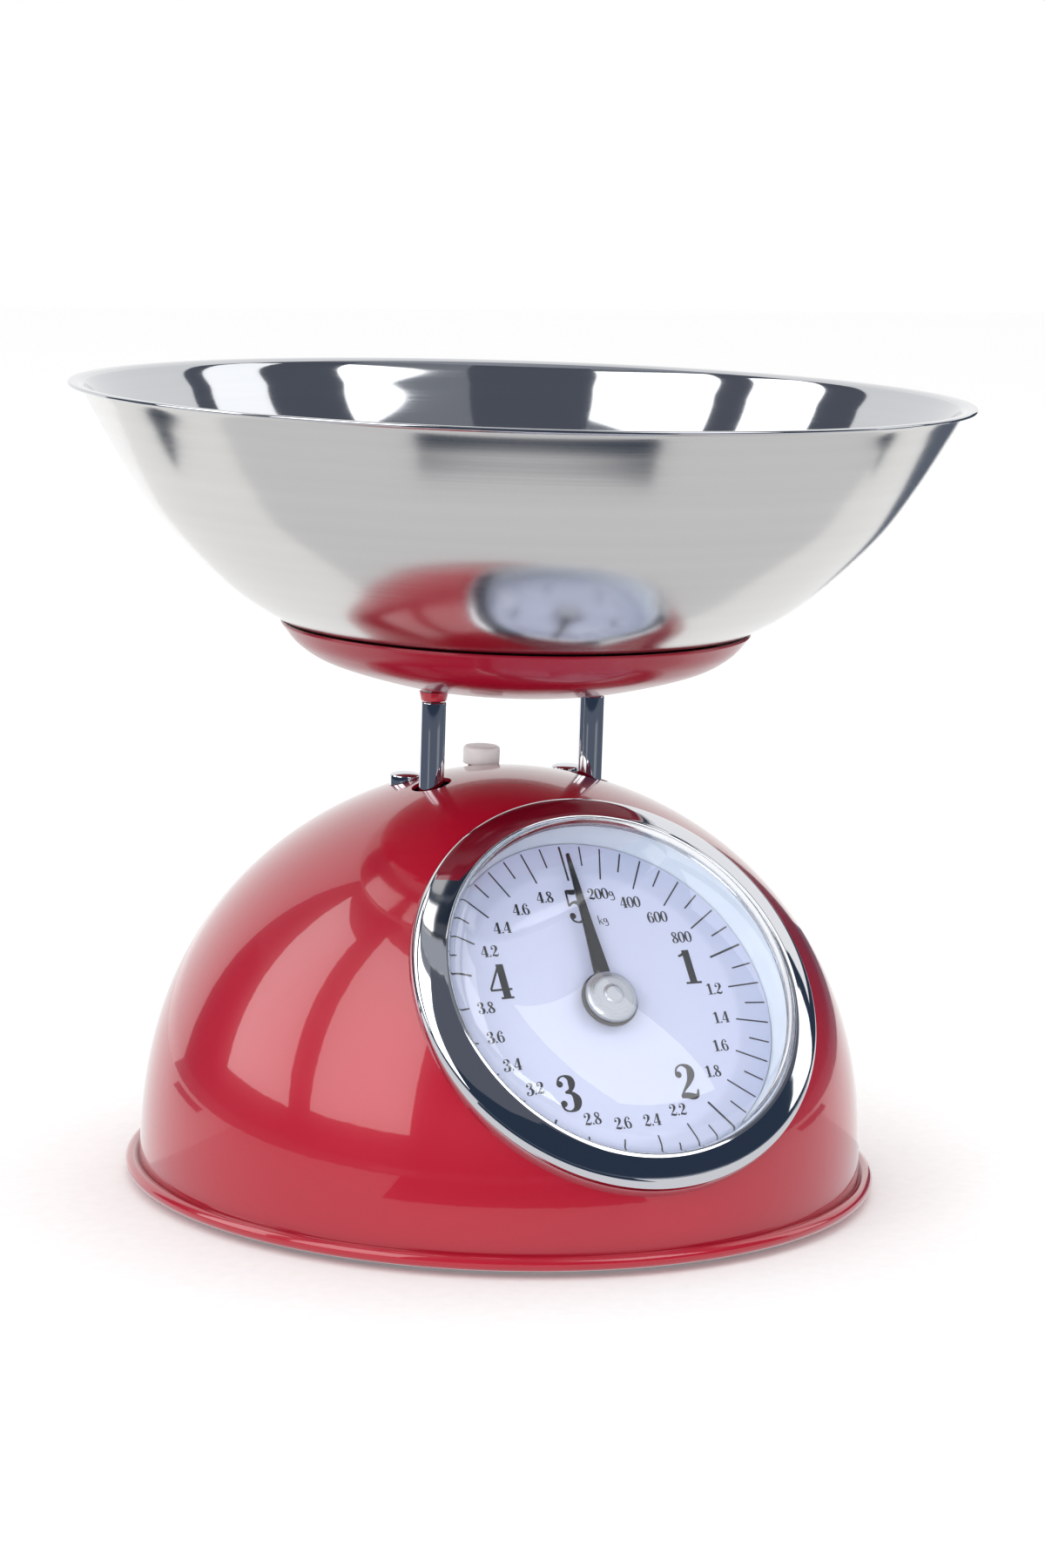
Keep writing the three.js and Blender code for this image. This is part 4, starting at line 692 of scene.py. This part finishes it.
def lens():
    """The clear dome over the dial, moulded with a flange that the bezel holds. It casts no shadow, so
    that the light reaches the dial through it."""
    base = CUP_RIM + REST_GAP
    inner = lens_line(LENS_RADIUS - LENS_WALL, LENS_RISE - LENS_WALL, base)[::-1]
    outer = lens_line(LENS_RADIUS, LENS_RISE, base + LENS_FLANGE)
    profile = np.vstack([inner, [(CUP_RADIUS, base), (CUP_RADIUS, base + LENS_FLANGE)], outer])
    part = turned(profile, LENS_SIDES, matrix=dial_frame)
    piece = skin("clear_lens_dome", [part], [ACRYLIC], "housing", ["lens"])
    piece.visible_shadow = False
    return piece


# ---- Print on the dial ----
THICK, THIN = 0.105, 0.028
# A character is strokes of (x, y, half width) in units of its height; a ball is (x, y, radius).
GLYPHS = {
    "0": (0.62, [[(0.31, 0.985, THIN), (0.14, 0.83, 0.07), (0.09, 0.5, 0.095), (0.14, 0.17, 0.07),
                  (0.31, 0.015, THIN), (0.48, 0.17, 0.07), (0.53, 0.5, 0.095), (0.48, 0.83, 0.07),
                  (0.31, 0.985, THIN)]], []),
    "1": (0.5, [[(0.27, 0.0, THICK), (0.27, 1.0, THICK)], [(0.04, 0.03, 0.03), (0.5, 0.03, 0.03)],
                [(0.03, 0.83, 0.03), (0.14, 0.87, 0.035), (0.25, 0.97, 0.03)]], []),
    "2": (0.64, [[(0.07, 0.72, 0.03), (0.13, 0.9, THIN), (0.3, 0.985, THIN), (0.48, 0.89, 0.085),
                  (0.5, 0.71, 0.11), (0.39, 0.49, 0.07), (0.2, 0.28, 0.035), (0.07, 0.1, 0.03)],
                 [(0.06, 0.08, 0.035), (0.22, 0.12, 0.085), (0.4, 0.08, 0.09), (0.53, 0.1, 0.05),
                  (0.59, 0.27, 0.02)]], [(0.14, 0.72, 0.095)]),
    "3": (0.62, [[(0.08, 0.78, 0.03), (0.15, 0.93, THIN), (0.3, 0.985, THIN), (0.45, 0.9, 0.085),
                  (0.47, 0.75, 0.1), (0.4, 0.59, 0.055), (0.24, 0.53, THIN)],
                 [(0.24, 0.53, THIN), (0.42, 0.49, 0.055), (0.52, 0.31, 0.115), (0.46, 0.1, 0.085),
                  (0.29, 0.015, THIN), (0.13, 0.07, THIN), (0.07, 0.21, 0.03)]],
          [(0.14, 0.77, 0.09), (0.13, 0.23, 0.09)]),
    "4": (0.66, [[(0.42, 0.985, 0.03), (0.04, 0.29, 0.03)], [(0.03, 0.27, 0.03), (0.64, 0.27, 0.03)],
                 [(0.45, 0.0, THICK), (0.45, 1.0, THICK)], [(0.27, 0.03, 0.03), (0.63, 0.03, 0.03)]], []),
    "5": (0.62, [[(0.13, 0.93, 0.06), (0.32, 0.91, 0.075), (0.5, 0.97, 0.03)],
                 [(0.13, 0.97, THIN), (0.11, 0.5, THIN)],
                 [(0.11, 0.5, THIN), (0.24, 0.6, 0.035), (0.4, 0.57, 0.07), (0.51, 0.38, 0.11),
                  (0.48, 0.14, 0.095), (0.31, 0.015, THIN), (0.14, 0.06, THIN), (0.07, 0.19, 0.03)]],
          [(0.14, 0.21, 0.09)]),
    "6": (0.62, [[(0.5, 0.82, 0.03), (0.4, 0.96, THIN), (0.25, 0.94, 0.04), (0.11, 0.68, 0.085),
                  (0.1, 0.32, 0.095), (0.18, 0.08, 0.06), (0.33, 0.015, THIN), (0.48, 0.13, 0.08),
                  (0.51, 0.32, 0.085), (0.44, 0.52, 0.055), (0.3, 0.59, THIN), (0.15, 0.48, THIN)]],
          [(0.45, 0.8, 0.075)]),
    "8": (0.62, [[(0.31, 0.985, THIN), (0.17, 0.9, 0.06), (0.15, 0.74, 0.075), (0.31, 0.53, 0.075),
                  (0.5, 0.3, 0.095), (0.48, 0.11, 0.075), (0.31, 0.015, THIN), (0.13, 0.1, 0.07),
                  (0.11, 0.28, 0.075), (0.28, 0.49, 0.04), (0.45, 0.7, 0.055), (0.45, 0.88, 0.055),
                  (0.31, 0.985, THIN)]], []),
    ".": (0.24, [], [(0.12, 0.07, 0.075)]),
    "k": (0.56, [[(0.12, 0.0, 0.05), (0.12, 1.0, 0.05)], [(0.14, 0.28, 0.03), (0.46, 0.62, 0.03)],
                 [(0.24, 0.4, 0.05), (0.5, 0.0, 0.05)]], []),
    "g": (0.56, [[(0.24, 0.62, THIN), (0.1, 0.54, 0.05), (0.1, 0.34, 0.06), (0.24, 0.24, THIN),
                  (0.38, 0.34, 0.06), (0.38, 0.54, 0.05), (0.24, 0.62, THIN)],
                 [(0.4, 0.6, 0.04), (0.46, 0.0, 0.05), (0.3, -0.16, 0.035), (0.08, -0.08, 0.035)]], []),
}
PRINT_TOP, PRINT_BOTTOM = 0.03, 0.005  # above the dial face
STROKE_LIFT, BALL_LIFT = 0.002, 0.01  # strokes that cross lie at slightly different heights
BALL_STATIONS = 13


def ribbon(line, widths, lift=0.0):
    """A flat bar along a line on the dial: its corners are the line moved sideways by the width, at the
    top and at the bottom of the print, and each end closes to a point."""
    left, right = beside(line, widths[:, None]), beside(line, -widths[:, None])
    low = np.full((len(line), 1), PRINT_BOTTOM)
    high = np.full((len(line), 1), PRINT_TOP + lift)
    grid = np.stack([np.hstack(c) for c in ((left, low), (left, high), (right, high), (right, low))], 1)
    ends = [np.repeat(grid[i].mean(axis=0)[None, None], 4, axis=1) for i in (0, -1)]
    return moved(np.concatenate([ends[0], grid, ends[1]]), dial_frame), False, None


def ball(x, y, radius, lift):
    """A disc as a bar whose half width is the circle's: radius sqrt(1 - s^2) at s radii from the
    middle. It stops just short of the circle's two ends."""
    s = np.cos(np.linspace(math.pi, 0, BALL_STATIONS))
    line = np.stack([x + radius * s * 0.999, np.full_like(s, y)], -1)
    return ribbon(line, radius * np.sqrt(1 - s**2).clip(0.02), lift)


def label(text, x, y, height):
    """Upright characters centred on (x, y)."""
    widths = [GLYPHS[c][0] for c in text]
    cursor = x - sum(widths) * height / 2
    parts = []
    for n, (character, width) in enumerate(zip(text, widths)):
        _, strokes, balls = GLYPHS[character]
        origin = np.array([cursor, y - height / 2])
        for i, stroke in enumerate(strokes):
            line = np.array(stroke) if len(stroke) == 2 else smooth(stroke, 6)
            lift = STROKE_LIFT * (i + n % 2)
            parts.append(ribbon(origin + line[:, :2] * height, line[:, 2] * height, lift))
        for bx, by, radius in balls:
            parts.append(ball(*(origin + np.array([bx, by]) * height), radius * height, BALL_LIFT))
        cursor += width * height
    return parts


# Heights of the figures, and how far their middles are from the dial's middle.
BIG_HEIGHT, BIG_RADIUS = 10.2, 29.9
SMALL_HEIGHT, SMALL_RADIUS = 3.3, 34.2
UNIT_HEIGHT, UNIT_PLACE = 2.8, (6.8, 25.2)
STEPS_ROUND = 50  # marks of 100 g
BIG_STEP, SMALL_STEP = 10, 2  # marks from one large figure to the next, and from one small one
MARK_OUTER, MARK_HALF, BIG_MARK_HALF = 48.2, 0.22, 0.3  # a half is half of a mark's width
BIG_MARK_INNER, SMALL_MARK_INNER, ODD_MARK_INNER = 37.6, 38.6, 42.2


def on_ring(radius, steps):
    """The point `steps` marks clockwise from the top."""
    angle = steps * TURN / STEPS_ROUND
    return radius * math.sin(angle), radius * math.cos(angle)


def numerals():
    """Kilograms in large bold figures, and every 200 g between them in small ones."""
    parts = []
    for kilogram in (1, 2, 3, 4, 5):
        parts += label(str(kilogram), *on_ring(BIG_RADIUS, kilogram * BIG_STEP), BIG_HEIGHT)
    parts += label("kg", *UNIT_PLACE, UNIT_HEIGHT)
    for steps in range(SMALL_STEP, STEPS_ROUND, SMALL_STEP):
        if steps % BIG_STEP == 0:
            continue
        text = f"{steps * 100}" if steps < BIG_STEP else f"{steps / BIG_STEP:.1f}"
        text += "g" if steps == SMALL_STEP else ""
        parts += label(text, *on_ring(SMALL_RADIUS, steps), SMALL_HEIGHT)
    return skin("dial_numerals", parts, [INK], "housing")


def marks():
    """The 50 marks: the longest at each kilogram, the shortest at odd hundreds of grams."""
    parts = []
    for steps in range(STEPS_ROUND):
        inner, half = ODD_MARK_INNER, MARK_HALF
        if steps % BIG_STEP == 0:
            inner, half = BIG_MARK_INNER, BIG_MARK_HALF
        elif steps % SMALL_STEP == 0:
            inner = SMALL_MARK_INNER
        line = np.array([on_ring(inner, steps), on_ring(MARK_OUTER, steps)])
        parts.append(ribbon(line, np.array([half, half])))
    return skin("dial_marks", parts, [INK], "housing")


# ---- Pointer ----
def pointer():
    """A tapered needle, and the disc that it grows from. A section of the needle is a rounded
    rectangle: x = half width * cos(a)^edge, z = half thickness * sin(a)^edge, each with its sign."""
    stations = smooth(NEEDLE, 6)
    y, half = stations[:, 0], stations[:, 1]
    around = np.arange(NEEDLE_SIDES) * TURN / NEEDLE_SIDES
    across, down = (np.sign(c) * np.abs(c) ** NEEDLE_EDGE for c in (np.cos(around), np.sin(around)))
    level, top = POINTER_BACK + POINTER_SHEET / 2, POINTER_BACK + POINTER_SHEET
    grid = np.stack([
        across * half[:, None], np.repeat(y[:, None], NEEDLE_SIDES, axis=1),
        level - down * POINTER_SHEET / 2 + 0 * y[:, None],
    ], -1)
    ends = [np.repeat(np.array([[[0, y[i], level]]]), NEEDLE_SIDES, axis=1) for i in (0, -1)]
    needle = (moved(np.concatenate([ends[0], grid, ends[1]]), dial_frame), False, None)
    disc = turned(rounded([
        (0, POINTER_BACK, 0), (HUB_RADIUS, POINTER_BACK, 0.25), (HUB_RADIUS, top, 0.25), (0, top, 0),
    ]), HUB_SIDES, matrix=dial_frame)
    return skin("black_needle", [needle, disc], [BLACK_LACQUER], "pointer", ["pointer"])


def pointer_cap():
    """The turned cap over the pointer's middle: a stepped profile with a raised boss, turned about the
    dial's axis."""
    base = POINTER_BACK + POINTER_SHEET + REST_GAP
    profile = rounded([(r, base + z, reach) for r, z, reach in CAP_OUTLINE])
    part = turned(profile, HUB_SIDES, matrix=dial_frame)
    return skin("spun_cap", [part], [ALUMINIUM], "pointer", ["pointer_cap"], sharp=60)


# ---- Platform and bowl ----
def dish():
    """The shallow pressed dish under the bowl: a curve turned about Z, 1 mm thick, its edge rounded."""
    profile, _ = wall(np.vstack([DISH_FLOOR, smooth(DISH_OUTLINE)]), SHEET)
    part = turned(profile, ROUND_SIDES, at=(0, 0, dish_floor))
    # Its enamel is painted darker than the dome's, as painted shade from the bowl.
    return skin("enamel_dish", [part], [DISH_ENAMEL_PAINTED_SHADE], "platform", ["weighing_dish"])


def bowl():
    """The spun bowl: a smooth curve turned about Z, 1 mm thick, with a thin lip turned out at its rim.
    The first finish, satin, covers the outside line, and the second, bright, all the rest."""
    profile, rim = wall(np.vstack([BOWL_FLOOR, smooth(BOWL_OUTLINE + BOWL_LIP)]), SHEET)
    finishes = [0] * (rim - 1) + [1] * (len(profile) - rim + 1)
    part = turned(profile, WIDE_SIDES, at=(0, 0, bowl_floor), finishes=finishes)
    materials = [SATIN_STEEL, BRIGHT_STEEL]
    return skin("steel_bowl", [part], materials, "bowl", ["bowl"], sharp=60)


def posts():
    """Two chromed rods and the enamelled bosses on them: rounded profiles turned about each post."""
    for side, x in (("left", -post_x), ("right", post_x)):
        low, high = rise(f"post_{side}")
        rod = rounded([(0, low, 0), (POST_RADIUS, low, 0.3), (POST_RADIUS, high, 0.4), (0, high, 0)])
        skin(f"chrome_rod_{side}", [turned(rod, ROD_SIDES, at=(x, 0, 0))], [CHROME], "platform",
             [f"post_{side}"])
        low, high = rise(f"post_boss_{side}")
        boss = rounded([
            (0, low, 0), (BOSS_FOOT_RADIUS, low, 0.3), (BOSS_TOP_RADIUS, high, 0.2), (0, high, 0),
        ])
        skin(f"enamel_boss_{side}", [turned(boss, ROD_SIDES, at=(x, 0, 0))], [ENAMEL], "platform",
             [f"post_boss_{side}"])


# ---- Fittings ----
def zero_knob():
    """The milky zero knob: a short cylinder with a round top edge, turned about its own axis."""
    low, high = rise("zero_knob")
    skirt = low - KNOB_SKIRT
    profile = rounded([
        (0, low, 0), (KNOB_HOLLOW, low, 0.1), (KNOB_HOLLOW, skirt, 0.15),
        (KNOB_RADIUS - 0.1, skirt, 0.25), (KNOB_RADIUS, high, 1.5), (0, high, 0),
    ], 8)
    part = turned(profile, KNOB_SIDES, at=(0, knob_y, 0))
    return skin("milky_knob", [part], [MILKY], "zero_adjuster", ["zero_knob"], sharp=60)


def frame_screw(side, x):
    """A domed screw head on its shank: the head is a quarter of an ellipse turned about the screw's
    axis, and its skirt follows the dome's surface."""
    radius = SCREW_HEAD_RADIUS
    low, top = rise(f"frame_screw_{side}")
    angle = np.arange(ROD_SIDES) * TURN / ROD_SIDES
    skirt = dome_height(np.hypot(x + radius * np.cos(angle), screw_y + radius * np.sin(angle))) + SKIN_GAP
    under, shoulder = skirt.mean(), skirt.max() + 0.15
    arc = np.linspace(0, math.pi / 2, 12)[:-1]
    head = np.stack([radius * np.cos(arc), shoulder + (top - shoulder) * np.sin(arc)], -1)
    rows = [(0, under), (radius - 0.3, skirt), (radius, skirt + 0.05), *head.tolist(), (0, top)]
    shank = rounded([
        (0, low, 0), (SCREW_SHANK_RADIUS, low, 0.3), (SCREW_SHANK_RADIUS, under, 0.1), (0, under, 0),
    ])
    parts = [(round_rows(rows, angle, x, screw_y), False, None)]
    parts += [turned(shank, SHANK_SIDES, at=(x, screw_y, 0))]
    skin(f"domed_screw_{side}", parts, [CHROME], "housing", [f"frame_screw_{side}"], sharp=60)


def feet():
    """Moulded rubber feet: tapered pads turned about Z, each with a stem through the base plate."""
    for i in range(1, 5):
        node = f"foot_{i}"
        top = corner(node, 1, 2)
        profile = rounded([*FOOT_OUTLINE, (FOOT_STEM, top, 0.3), (0, top, 0)])
        part = turned(profile, ROD_SIDES, at=(middle(node, 0), middle(node, 1), 0))
        skin(f"rubber_foot_{i}", [part], [RUBBER], "housing", [node])


def springs():
    """Two close-wound springs: a round wire carried along a helix, centre + wire (out cos b - up sin b).
    On the real scale their tops hang on the housing and their bottoms on the carrier, so they stretch
    under load; these coils are put on no body."""
    up = np.array([0.0, 0.0, 1.0])
    around = np.arange(WIRE_SIDES) * TURN / WIRE_SIDES
    for side in ("left", "right"):
        node = f"spring_{side}"
        x, y = middle(node, 0), middle(node, 1)
        low, high = rise(node)
        low, high = low + WIRE_RADIUS, high - WIRE_RADIUS - BRIDGE_DROP
        t = np.linspace(0, 1, COIL_TURNS * COIL_STEPS + 1)
        a = t * COIL_TURNS * TURN
        out = np.stack([np.cos(a), np.sin(a), 0 * a], -1)
        centre = COIL_RADIUS * out + np.stack([x + 0 * a, y + 0 * a, low + t * (high - low)], -1)
        ring = out[:, None] * np.cos(around)[:, None] - up * np.sin(around)[:, None]
        ends = [np.repeat(centre[i][None, None], WIRE_SIDES, axis=1) for i in (0, -1)]
        grid = np.concatenate([ends[0], centre[:, None] + WIRE_RADIUS * ring, ends[1]])
        piece = skin(f"coil_{side}", [(grid, False, None)], [WIRE], None, [node])
        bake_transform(piece)


# ---- Stage, in metres and degrees ----
SCALE_MIDDLE = 0.12
WALL = 2.3  # radius of the surrounding wall
PANELS = WALL - 0.1
WALL_TURN, WALL_END = (-150, 96), 135
WALL_FOOT, WALL_MIDDLE, WALL_TOP = -3, 24, 62
GROUND = 0.62  # radius of the pale ground round the scale
CARD_STEPS, CARD_GAP = 24, 0.001
FLOOR = 4  # half the side of the floor
PANEL_GLOW, SIDE_GLOW = 2.7, 1.6
SLATE, NIGHT, DUSK, GREY = "#5E626D", "#2E3A4C", "#5C6473", "#8A8D94"
PALE, WHITE, CEILING = "#E4E4E6", "#FFFFFF", "#A6A9B0"


def card(name, rows, colour, strength):
    """A glowing card between two rows of points, for the bright and the dark shapes in the reflections.
    Only glossy rays see it."""
    made, _, _ = new_material(name, {
        "Base Color": "#000000", "Roughness": 1.0, "Specular IOR Level": 0.0, "Emission Color": colour,
        "Emission Strength": strength,
    })
    mesh = bpy.data.meshes.new(name)
    after = CARD_STEPS + 1
    faces = [(i, i + 1, i + after + 1, i + after) for i in range(CARD_STEPS)]
    mesh.from_pydata(np.vstack(rows).tolist(), [], faces)
    mesh.materials.append(made)
    thing = placed(name, mesh)
    thing.visible_camera = thing.visible_diffuse = False
    thing.visible_shadow = thing.visible_transmission = False


def card_row(radius, turn, z):
    """A row of points at a radius and a height, between two bearings: x = radius sin(a),
    y = -radius cos(a). A bearing is 0 in front and 90 to the right."""
    bearing = np.radians(np.linspace(*turn, CARD_STEPS + 1))
    return np.stack([radius * np.sin(bearing), -radius * np.cos(bearing), np.full_like(bearing, z)], -1)


def height_at(radius, elevation):
    """Height of a point seen from the scale's middle at an elevation: middle + radius tan(e)."""
    return SCALE_MIDDLE + radius * math.tan(math.radians(elevation))


def wall_card(name, radius, turn, elevations, colour, strength=1.0, top_turn=None):
    """An upright curved card between two bearings and two elevations. Its top may have other bearings."""
    low, high = (height_at(radius, elevation) for elevation in elevations)
    rows = [card_row(radius, turn, low), card_row(radius, top_turn or turn, high)]
    card(name, rows, colour, strength)


def floor_card(name, inner, outer, turn, z, colour, strength=1.0):
    """A flat card between two radii and two bearings."""
    card(name, [card_row(inner, turn, z), card_row(outer, turn, z)], colour, strength)


def lamp(name, size, place, look_at, power):
    """A rectangular soft box that lights but does not show in reflections."""
    light = bpy.data.lights.new(name, "AREA")
    light.shape = "RECTANGLE"
    light.size, light.size_y = size
    light.energy = power
    thing = placed(name, light)
    way = Vector(place) - Vector(look_at)
    thing.matrix_world = Matrix.Translation(place) @ way.to_track_quat("Z", "Y").to_matrix().to_4x4()
    thing.visible_glossy = False


def stage():
    """A pale floor, even white surroundings, soft boxes, and the cards round the front half: dark walls
    with four white panels, a grey ceiling, and dark ground towards the viewer."""
    floor = bpy.data.meshes.new("floor")
    corners = [(-FLOOR, -FLOOR, 0), (FLOOR, -FLOOR, 0), (FLOOR, FLOOR, 0), (-FLOOR, FLOOR, 0)]
    floor.from_pydata(corners, [], [(0, 1, 2, 3)])
    # Matt paper: white, with a faint tooth that keeps the shadows soft.
    floor.materials.append(painted("floor_paper", ("#FBFBFB", "#FFFFFF"), 0.9, 4, 0.01))
    placed("floor", floor)

    world = bpy.data.worlds.new("surroundings")
    bpy.context.scene.world = world
    world.use_nodes = True
    background = world.node_tree.nodes["Background"]
    background.inputs["Color"].default_value = linear(WHITE)
    background.inputs["Strength"].default_value = 1.0

    # Each lamp has its width and height, its place, what it looks at, and its power in watts.
    lamp("key_box", (0.9, 1.2), (-1.7, -0.8, 1.3), (0, 0, 0.1), 9)
    lamp("top_box", (1.2, 1.2), (0.3, 0.2, 1.9), (0, 0, 0.1), 6)
    lamp("low_box", (1.0, 0.4), (-1.0, -1.6, 0.4), (0, 0, SCALE_MIDDLE), 9)
    # Each wall card has its radius, bearings, elevations, colour and glow; each floor card its two
    # radii, bearings, height and colour.
    side_turn = (WALL_TURN[1], WALL_END)
    wall_card("upper_wall", WALL, WALL_TURN, (WALL_MIDDLE, WALL_TOP), SLATE)
    wall_card("lower_wall", WALL, WALL_TURN, (WALL_FOOT, WALL_MIDDLE), NIGHT)
    wall_card("right_wall", WALL, side_turn, (WALL_FOOT, 12), NIGHT)
    wall_card("panel_far_left", PANELS, (-125, -96), (4, 50), WHITE, PANEL_GLOW, top_turn=(-141, -113))
    wall_card("panel_left", PANELS, (-88, -54), (5, 57), WHITE, PANEL_GLOW, top_turn=(-103, -54))
    wall_card("panel_right", PANELS, (14, 42), (24, 53.5), WHITE, PANEL_GLOW, top_turn=(-5, 42))
    wall_card("panel_far_right", PANELS, (69, 89), (2, 50), WHITE, SIDE_GLOW)
    wall_card("above_left", PANELS, (-103, -54), (57, WALL_TOP), GREY)
    wall_card("above_right", PANELS, (-5, 42), (53.5, WALL_TOP), GREY)
    floor_card("ceiling", 0, WALL, (-180, 180), height_at(WALL, WALL_TOP), CEILING)
    floor_card("ground_near", 0, GROUND, (-112, 84), CARD_GAP, PALE)
    floor_card("ground_behind", 0, GROUND, (84, 248), CARD_GAP, WHITE)
    floor_card("ground_far", GROUND, WALL, (WALL_TURN[0], WALL_END), 2 * CARD_GAP, DUSK)
    floor_card("ground_front", 0.223, GROUND, (-54, 10), 2 * CARD_GAP, NIGHT)
    floor_card("ground_left", 0.38, 0.5, (-142, -125), 2 * CARD_GAP, NIGHT)
    floor_card("ground_right", 0.4, 0.52, (72, 88), 2 * CARD_GAP, NIGHT)
    floor_card("streak_left", 0.7, 1.6, (-64, -50), 3 * CARD_GAP, GREY)
    floor_card("streak_right", 0.7, 1.6, (16, 40), 3 * CARD_GAP, GREY)


CAMERA_PLACE, CAMERA_AHEAD = (-0.4999, -1.0088, 0.3062), (0.4401, 0.8817, -0.1695)
CAMERA_TIP = 0.0321  # how far the frame is turned about the line of sight, in radians
CAMERA_LENS, CAMERA_FRAME = 93.61, 36  # millimetres; the frame is the longer side of the picture


def camera():
    """A long lens from the front left, a little above the dish. Its frame is turned by the tip:
    right cos(tip) + up sin(tip), and up cos(tip) - right sin(tip)."""
    ahead = Vector(CAMERA_AHEAD).normalized()
    right = ahead.cross(Vector((0, 0, 1))).normalized()
    up = right.cross(ahead)
    c, s = math.cos(CAMERA_TIP), math.sin(CAMERA_TIP)
    right, up = c * right + s * up, c * up - s * right
    lens_data = bpy.data.cameras.new("camera")
    lens_data.lens = CAMERA_LENS
    lens_data.sensor_width = CAMERA_FRAME
    lens_data.clip_start = 0.05
    view = placed("camera", lens_data)
    turn = Matrix((right, up, -ahead)).transposed().to_4x4()
    view.matrix_world = Matrix.Translation(CAMERA_PLACE) @ turn
    bpy.context.scene.camera = view


# ---- Making ----
dress_carried_nodes()
dome_housing()
bezel()
dial_cup()
dial_plate()
lens()
numerals()
marks()
pointer()
pointer_cap()
dish()
bowl()
posts()
zero_knob()
frame_screw("left", -screw_x)
frame_screw("right", screw_x)
feet()
springs()
stage()
camera()
bpy.context.scene.view_settings.view_transform = "Standard"
